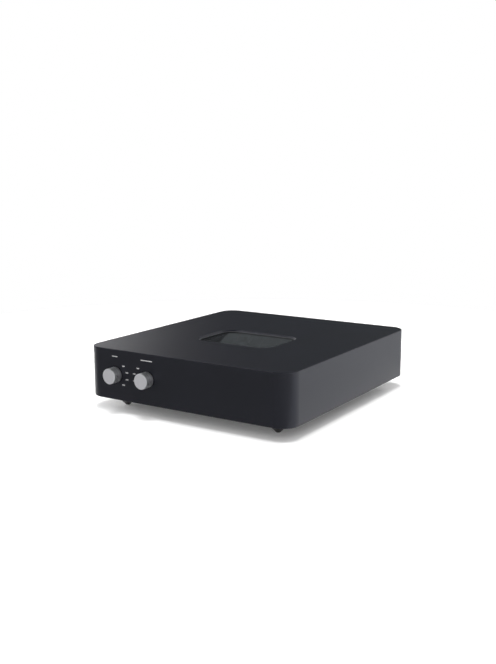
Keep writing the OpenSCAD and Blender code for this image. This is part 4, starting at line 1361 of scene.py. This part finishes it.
@dataclass
class RearSockets:
    """The mains inlet, fuse drawer, switch, phono sockets and ground post.

    Attributes:
        switch: Middle of the switch.
        pivot_out: How far the rocker's pivot is out of the rear face.
        rest_angle: Angle of the rocker at rest, in degrees.
        ridge: Distance of the rocker's ridge from its pivot.
        half_turn: Slope of each half of the rocker's face, in degrees.
        marks: For each mark on the rocker, its name, the half heights of its outer and inner
            outlines, its width as a share of its height, and its place up the rocker.
        mark_sheets: Distances of a mark's two faces from the rocker.
    """

    switch: Point = middle("switch_housing")
    pivot_out: float = -0.0028
    rest_angle: float = 9.0
    ridge: float = 0.0052
    half_turn: float = 9.0
    marks: tuple[tuple[str, float, float, float, float], ...] = (
        ("off", 0.0015, 0.0011, 0.9, -0.0046),
        ("on", 0.0016, 0.00001, 0.16, 0.0046),
    )
    mark_sheets: tuple[float, float] = (0.00001, 0.00006)

    def on_rocker(self, across: np.ndarray, along: np.ndarray, out: np.ndarray) -> np.ndarray:
        """Place points on the rocker's face.

        Along is measured from the ridge up the rocker. The face falls away from the ridge by the
        slope of each half, then the whole turns by the rest angle about the pivot.

        Args:
            across: Distances across the rocker, to the right seen from behind.
            along: Distances up the rocker from its ridge.
            out: Distances out of the face.

        Returns:
            One row of x, y, z for each point.
        """
        height = self.ridge - np.abs(along) * math.tan(math.radians(self.half_turn)) + out
        c, s = math.cos(math.radians(self.rest_angle)), math.sin(math.radians(self.rest_angle))
        up = along * c - height * s
        outward = along * s + height * c
        x, _, z = self.switch
        return np.column_stack([x - across, REAR_Y + self.pivot_out + outward, z + up])

    def mark(self, name: str, outer: float, inner: float, stretch: float, along: float) -> bpy.types.Object:
        """Make one mark on the rocker: a ring, or a bar where the inner outline has no size.

        Args:
            name: Name of the piece.
            outer: Half height of the outer outline.
            inner: Half height of the inner outline.
            stretch: Width of the outline as a share of its height.
            along: Place of the mark up the rocker.

        Returns:
            The mark.
        """
        sides = 32
        turn = np.linspace(0, 2 * np.pi, sides, endpoint=False)
        low, high = self.mark_sheets
        corners = [(inner, low), (outer, low), (outer, high), (inner, high)]
        rows = [
            self.on_rocker(stretch * r * np.cos(turn), along + r * np.sin(turn), np.full(sides, out))
            for r, out in corners
        ]
        points = np.stack(rows, axis=1).reshape(-1, 3)
        return make_mesh(name, points, grid_faces(sides, len(corners), True, True), smooth=False)

    def build(self) -> None:
        """Dress the sockets and mark the rocker."""
        dress_nodes(BLACK_MOULDED, "power_inlet", "fuse_drawer", "switch_housing")
        dress_nodes(NICKEL, "inlet_blades", "ground_post", "ground_washer", "ground_nut")
        dress_nodes(FUSE_GLASS, "fuse")
        dress_nodes(BLACK_GLOSS, "power_rocker")
        dress_nodes(GOLD, "jack_shells", "jack_contacts")
        dress_nodes(SOCKET_INSULATOR, "jack_insulators")
        for name, *sizes in self.marks:
            add_piece(self.mark(f"rocker_mark_{name}", *sizes), PRINT_WHITE, "rocker")


class Sleeve(Enum):
    """Colours of the wires' sleeves."""

    BROWN = (0.16, 0.06, 0.02)
    RED = (0.4, 0.02, 0.015)
    YELLOW = (0.5, 0.3, 0.02)
    GREEN = (0.03, 0.16, 0.03)
    BLUE = (0.02, 0.05, 0.3)
    WHITE = (0.6, 0.6, 0.58)


@dataclass(frozen=True)
class Lead:
    """One wire inside the case.

    Attributes:
        name: Name of the piece.
        sleeve: Colour of its sleeve.
        route: Points that it passes through, in millimetres.
    """

    name: str
    sleeve: Sleeve
    route: tuple[Point, ...]


def into_board(x: float, y: float, height: float) -> tuple[Point, ...]:
    """Give a route's last points, straight down from a height into a board."""
    return (x, y, height), (x, y, 33), (x, y, 30.7)


def from_socket(lug: Place, bend: float, drop: float, end: float) -> tuple[Point, ...]:
    """Lead a wire from a rear socket to the main board.

    Args:
        lug: Place of the socket's lug, across and along the depth.
        bend: Place across where the wire turns down.
        drop: Place across where it comes near the board.
        end: Place across where it goes into the board.

    Returns:
        The route.
    """
    x, y = lug
    return (x, y, 58.5), (x, y - 12.9, 58), (bend, 146, 46), (drop, 122, 38), *into_board(end, 112, 36)


def from_selector(lug: float, middle: float, end: float) -> tuple[Point, ...]:
    """Lead a wire from a selector's lug under the shaft to the main board, given its places across."""
    first = ((lug, -154.5, 36.6), (lug, -149, 36.2), (middle, -130, 32))
    return *first, (end, -104, 33.5), (end, -88, 37), *into_board(end, -80, 36)


@dataclass
class Loom:
    """The wires inside the case.

    Attributes:
        radius: Radius of a wire.
        roughness: Roughness of its sleeve.
        grain_size: Width of the sleeve's unevenness.
        leads: The wires.
    """

    radius: float = 0.0015
    roughness: float = 0.4
    grain_size: float = 0.001
    leads: tuple[Lead, ...] = (
        Lead(
            "wire_mains",
            Sleeve.BROWN,
            (
                *((111, 162.9, 61), (111, 157, 61), (104, 152, 61)),
                *((84, 152, 63), (74, 158, 63.5), (74, 169.9, 63.5)),
            ),
        ),
        Lead(
            "wire_switched",
            Sleeve.BROWN,
            (
                *((74, 169.9, 53.5), (74, 160, 53), (68, 138, 42), (67, 110, 31), (66.7, 40, 28)),
                *((66.5, -20, 28), (63, -44, 32), (63, -61.2, 40), (72, -67.5, 41)),
            ),
        ),
        Lead(
            "wire_secondary",
            Sleeve.YELLOW,
            ((108, -46.6, 42), (107, -40, 44), (105, -32, 42), *into_board(104, -25, 37)),
        ),
        Lead(
            "wire_supply",
            Sleeve.RED,
            (*into_board(78, 60, 37)[::-1], (70, 60, 41), (60, 52, 38), *into_board(58, 50, 36)),
        ),
        Lead("wire_input_right", Sleeve.RED, from_socket((-132, 177.9), -132, -130, -130)),
        Lead("wire_input_left", Sleeve.WHITE, from_socket((-104, 177.9), -104, -106, -107)),
        Lead("wire_ground", Sleeve.GREEN, from_socket((-80, 182.9), -79, -78, -77)),
        Lead("wire_output_right", Sleeve.RED, from_socket((-44, 177.9), -42, -38, -37)),
        Lead("wire_output_left", Sleeve.WHITE, from_socket((-16, 177.9), -18, -20, -20)),
        Lead("wire_gain", Sleeve.BLUE, from_selector(-116.6, -117, -118)),
        Lead("wire_load", Sleeve.YELLOW, from_selector(-56.1, -56, -57)),
    )

    def build(self) -> None:
        """Make each wire in its own colour. Together they stand for the CAD loom."""
        for lead in self.leads:
            path = smooth_path(np.array(lead.route) * MM, steps=6)
            made = make_mesh(lead.name, *sweep(path, self.radius))
            name, colour = f"sleeve_{lead.name}", lead.sleeve.value
            finish = Finish(name, colour, self.roughness, grain_size=self.grain_size)
            add_piece(made, finish, "case", ["wiring"])


# ---------------------------------------------------------------- studio


@dataclass(frozen=True)
class Softbox:
    """A rectangular lamp.

    Attributes:
        name: Name of the lamp.
        place: Its middle, in metres.
        target: The point that it faces.
        size: Width and height.
        power: Power in watts.
    """

    name: str
    place: Point
    target: Point
    size: tuple[float, float]
    power: float

    def build(self) -> bpy.types.Object:
        """Make the lamp, which gives light but doesn't show in reflections.

        Returns:
            The lamp.
        """
        lamp = bpy.data.lights.new(self.name, "AREA")
        lamp.shape = "RECTANGLE"
        lamp.size, lamp.size_y = self.size
        lamp.energy = self.power
        made = add_object(self.name, lamp)
        made.location = self.place
        made.visible_glossy = False
        aim = Vector(self.target) - Vector(self.place)
        made.rotation_euler = aim.to_track_quat("-Z", "Y").to_euler()
        return made


def upright(start: Place, end: Place, low: float, high: float) -> Corners:
    """Give the corners of an upright panel between two places, from a low level to a high one."""
    return (*start, low), (*end, low), (*end, high), (*start, high)


def level(x: tuple[float, float], y: tuple[float, float], z: float = 0.0004) -> Corners:
    """Give the corners of a level panel from its ranges along X and Y, a hair above the floor or higher."""
    return (x[0], y[0], z), (x[1], y[0], z), (x[1], y[1], z), (x[0], y[1], z)


@dataclass(frozen=True)
class Flag:
    """A panel beside the set that shows only in reflections.

    Attributes:
        name: Name of the panel.
        corners: Its four corners in order, in metres.
        start: Brightness along the side between the last corner and the first.
        end: Brightness along the side between the second corner and the third.
        tint: Colour of the panel.
        rise: Power of U with which the brightness goes from start to end.
        lean: How far U falls from the first side up to the third.
        lean_start: U at the first corner.
    """

    name: str
    corners: Corners
    start: float
    end: float
    tint: Colour = (1.0, 1.0, 1.0)
    rise: float = 2.0
    lean: float = 0.0
    lean_start: float = 0.0

    def build(self) -> bpy.types.Object:
        """Make the panel. Its brightness goes from start to end with a power of U in its UV map.

        Returns:
            The panel.
        """
        made = make_mesh(self.name, np.array(self.corners), np.array([[0, 1, 2, 3]]), smooth=False)
        uv = made.data.uv_layers.new(name="across")
        low, high = self.lean_start, self.lean_start - self.lean
        uv.data.foreach_set("uv", np.array([low, 0, 1 + low, 0, 1 + high, 1, high, 1], float))
        material, graph = new_material(self.name, self.tint)
        share = graph.math("POWER", graph.math("MAXIMUM", graph.along_map(), 0.0), self.rise)
        strength = graph.spread(share, self.start, self.end, 0, 1)
        glow = graph.add("ShaderNodeEmission", {"Color": rgba(self.tint), "Strength": strength})
        graph.show(glow.outputs[0])
        made.data.materials.append(material)
        for kind in ("camera", "diffuse", "transmission", "volume_scatter", "shadow"):
            setattr(made, f"visible_{kind}", False)
        return made


@dataclass
class Studio:
    """Camera, lamps, floor and surroundings.

    Attributes:
        camera_place: Place of the lens.
        camera_back: Direction from the object to the lens.
        camera_roll: Turn about the line of sight, in degrees.
        sensor: Width of the sensor in millimetres.
        lens: Focal length in millimetres.
        sight: Nearest and farthest distance that the camera sees.
        ambient: Strength of the surroundings as light.
        floor_size: Half the width of the floor.
        floor_paint: Colour of the floor.
        floor_fade: Distances between which the floor turns white.
        floor_glow: Share of white that the floor shows by itself.
        softboxes: The lamps.
        flags: The panels that shape the reflections.
    """

    camera_place: Point = (0.76362, -1.19969, 0.38061)
    camera_back: Point = (0.532498, -0.824664, 0.19097)
    camera_roll: float = -0.206
    sensor: float = 36.0
    lens: float = 49.0
    sight: tuple[float, float] = (0.05, 60.0)
    ambient: float = 0.42
    floor_size: float = 14.0
    floor_paint: Colour = (0.94, 0.94, 0.94)
    floor_fade: tuple[float, float] = (0.45, 1.0)
    floor_glow: float = 0.095
    softboxes: tuple[Softbox, ...] = (
        Softbox("key_softbox", (0.0, 0.0, 5.0), (0.0, 0.0, 0.0), (1.8, 1.8), 206.0),
        Softbox("left_softbox", (-1.4, -0.1, 0.45), (0.0, -0.1, 0.03), (0.8, 0.5), 20.0),
        Softbox("front_softbox", (0.6, -1.3, 0.78), (0.0, 0.0, 0.03), (0.9, 0.9), 6.4),
        Softbox("rear_softbox", (0.35, 1.5, 0.42), (0.1, 0.1, 0.03), (0.8, 0.5), 18.0),
    )
    flags: tuple[Flag, ...] = (
        Flag(
            "flag_rear_right",
            upright((0.06, 1.94), (-0.931, 1.301), 0.0, 2.6),
            0.17,
            0.088,
            (0.92, 1.0, 0.99),
        ),
        Flag(
            "flag_rear_left",
            upright((-0.931, 1.301), (-1.41, 0.993), 0.0, 2.6),
            0.078,
            2.75,
            rise=2.7,
            lean=3.65,
            lean_start=0.59,
        ),
        Flag(
            "card_rear",
            ((-0.6, 1.446, 0.33), (-0.865, 1.315, 0.33), (-1.08, 1.176, 0.6), (-0.6, 1.446, 0.6)),
            0.125,
            0.125,
            (0.9, 0.98, 1.0),
        ),
        Flag(
            "card_rear_dark",
            ((-0.865, 1.315, 0.33), (-1.118, 1.152, 0.33), (-1.118, 1.152, 0.6), (-1.08, 1.176, 0.6)),
            0.028,
            0.028,
        ),
        Flag("card_high_left", level((-1.5, -0.75), (-0.7, -0.05), 1.65), 3.0, 3.0),
        Flag("card_high_rear", level((-1.1, -0.35), (0.08, 0.62), 1.2), 1.4, 1.4),
        Flag("card_high_middle", level((0.05, 1.25), (-0.35, 0.4), 2.6), 0.7, 0.7),
        Flag("card_front_high", upright((-2.4, -1.7), (0.8, -1.7), 0.7, 3.4), 0.2, 0.2),
        Flag("card_left_high", upright((-2.4, 0.3), (-2.4, -1.7), 0.7, 3.4), 0.15, 0.15),
        Flag("card_overhead", level((-2.4, 3.0), (-1.7, 1.2), 2.7), 0.05, 0.05),
        Flag("card_right_high", upright((1.3, -1.0), (1.3, 0.1), 0.45, 1.2), 2.6, 2.6),
        Flag("flag_floor", level((-1.7, 0.3), (-1.9, -0.205)), 0.16, 0.4),
        Flag("flag_floor_corner", level((0.3, 0.95), (-1.9, -0.17)), 0.5, 0.35),
        Flag("card_right", level((0.24, 1.6), (-0.17, 1.6)), 0.87, 2.17, (0.95, 0.96, 1.0), rise=0.5),
    )

    def camera(self) -> None:
        """Make the camera: its axes come from the direction back to the lens, then the roll."""
        data = bpy.data.cameras.new("camera")
        data.sensor_width = self.sensor
        data.lens = self.lens
        data.clip_start, data.clip_end = self.sight
        made = add_object("camera", data)
        back = Vector(self.camera_back).normalized()
        right = Vector((-back.y, back.x, 0)).normalized()
        up = back.cross(right)
        roll = math.radians(self.camera_roll)
        rolled_right = math.cos(roll) * right + math.sin(roll) * up
        rolled_up = -math.sin(roll) * right + math.cos(roll) * up
        turn = Matrix((rolled_right, rolled_up, back)).transposed().to_4x4()
        made.matrix_world = Matrix.Translation(self.camera_place) @ turn
        bpy.context.scene.camera = made

    def seen_directly(self, graph: Graph) -> Socket:
        """Give 1 for rays that show the surroundings: from the lens, by gloss and through glass.

        Args:
            graph: The graph that the nodes join.

        Returns:
            1 for such rays and 0 for the rest.
        """
        path = graph.add("ShaderNodeLightPath").outputs
        first = graph.math("MAXIMUM", path["Is Camera Ray"], path["Is Glossy Ray"])
        return graph.math("MAXIMUM", first, path["Is Transmission Ray"])

    def surroundings(self) -> None:
        """Make the world: white to the lens, in gloss and through glass, and dimmer as light."""
        world = bpy.data.worlds.new("surroundings")
        world.use_nodes = True
        graph = Graph(world.node_tree)
        shown = self.seen_directly(graph)
        strength = graph.math("ADD", self.ambient, graph.math("MULTIPLY", shown, 1 - self.ambient))
        graph.fill(world.node_tree.nodes["Background"], {"Color": (1, 1, 1, 1), "Strength": strength})
        bpy.context.scene.world = world

    def floor(self) -> None:
        """Make the floor: pale, white in the distance, and with the object's shadow near it."""
        size = self.floor_size
        points = np.array([[-size, -size, 0], [size, -size, 0], [size, size, 0], [-size, size, 0]], float)
        made = make_mesh("floor", points, np.array([[0, 1, 2, 3]]), smooth=False)
        material, graph = new_material("floor_white", self.floor_paint)
        shown = self.seen_directly(graph)
        distance = graph.add("ShaderNodeVectorMath", {0: graph.place()}, operation="LENGTH").outputs["Value"]
        far = graph.spread(distance, 0, 1, *self.floor_fade)
        paint = graph.add("ShaderNodeBsdfDiffuse", {"Color": rgba(self.floor_paint)}).outputs[0]
        shine = {"Color": (1, 1, 1, 1), "Strength": graph.math("MULTIPLY", shown, self.floor_glow)}
        glow = graph.add("ShaderNodeEmission", shine).outputs[0]
        lit = graph.add("ShaderNodeAddShader", {0: paint, 1: glow}).outputs[0]
        white = graph.add("ShaderNodeEmission", {"Color": (1, 1, 1, 1), "Strength": 1.0}).outputs[0]
        share = graph.math("MULTIPLY", shown, far)
        graph.show(graph.add("ShaderNodeMixShader", {0: share, 1: lit, 2: white}).outputs[0])
        made.data.materials.append(material)

    def build(self) -> None:
        """Set up the studio."""
        bpy.context.scene.view_settings.view_transform = "Standard"
        self.camera()
        self.surroundings()
        self.floor()
        for part in (*self.softboxes, *self.flags):
            part.build()


def main() -> None:
    """Build the studio and every sub-assembly in order."""
    logging.basicConfig(level=logging.INFO, format="%(name)s: %(message)s")
    Studio().build()
    for kind in (Case, Feet, FrontLegend, Selectors, TubeStage, Boards, MainsTransformer, RearSockets, Loom):
        kind().build()
        LOG.info("built %s", kind.__name__)


if __name__ == "__main__":
    main()
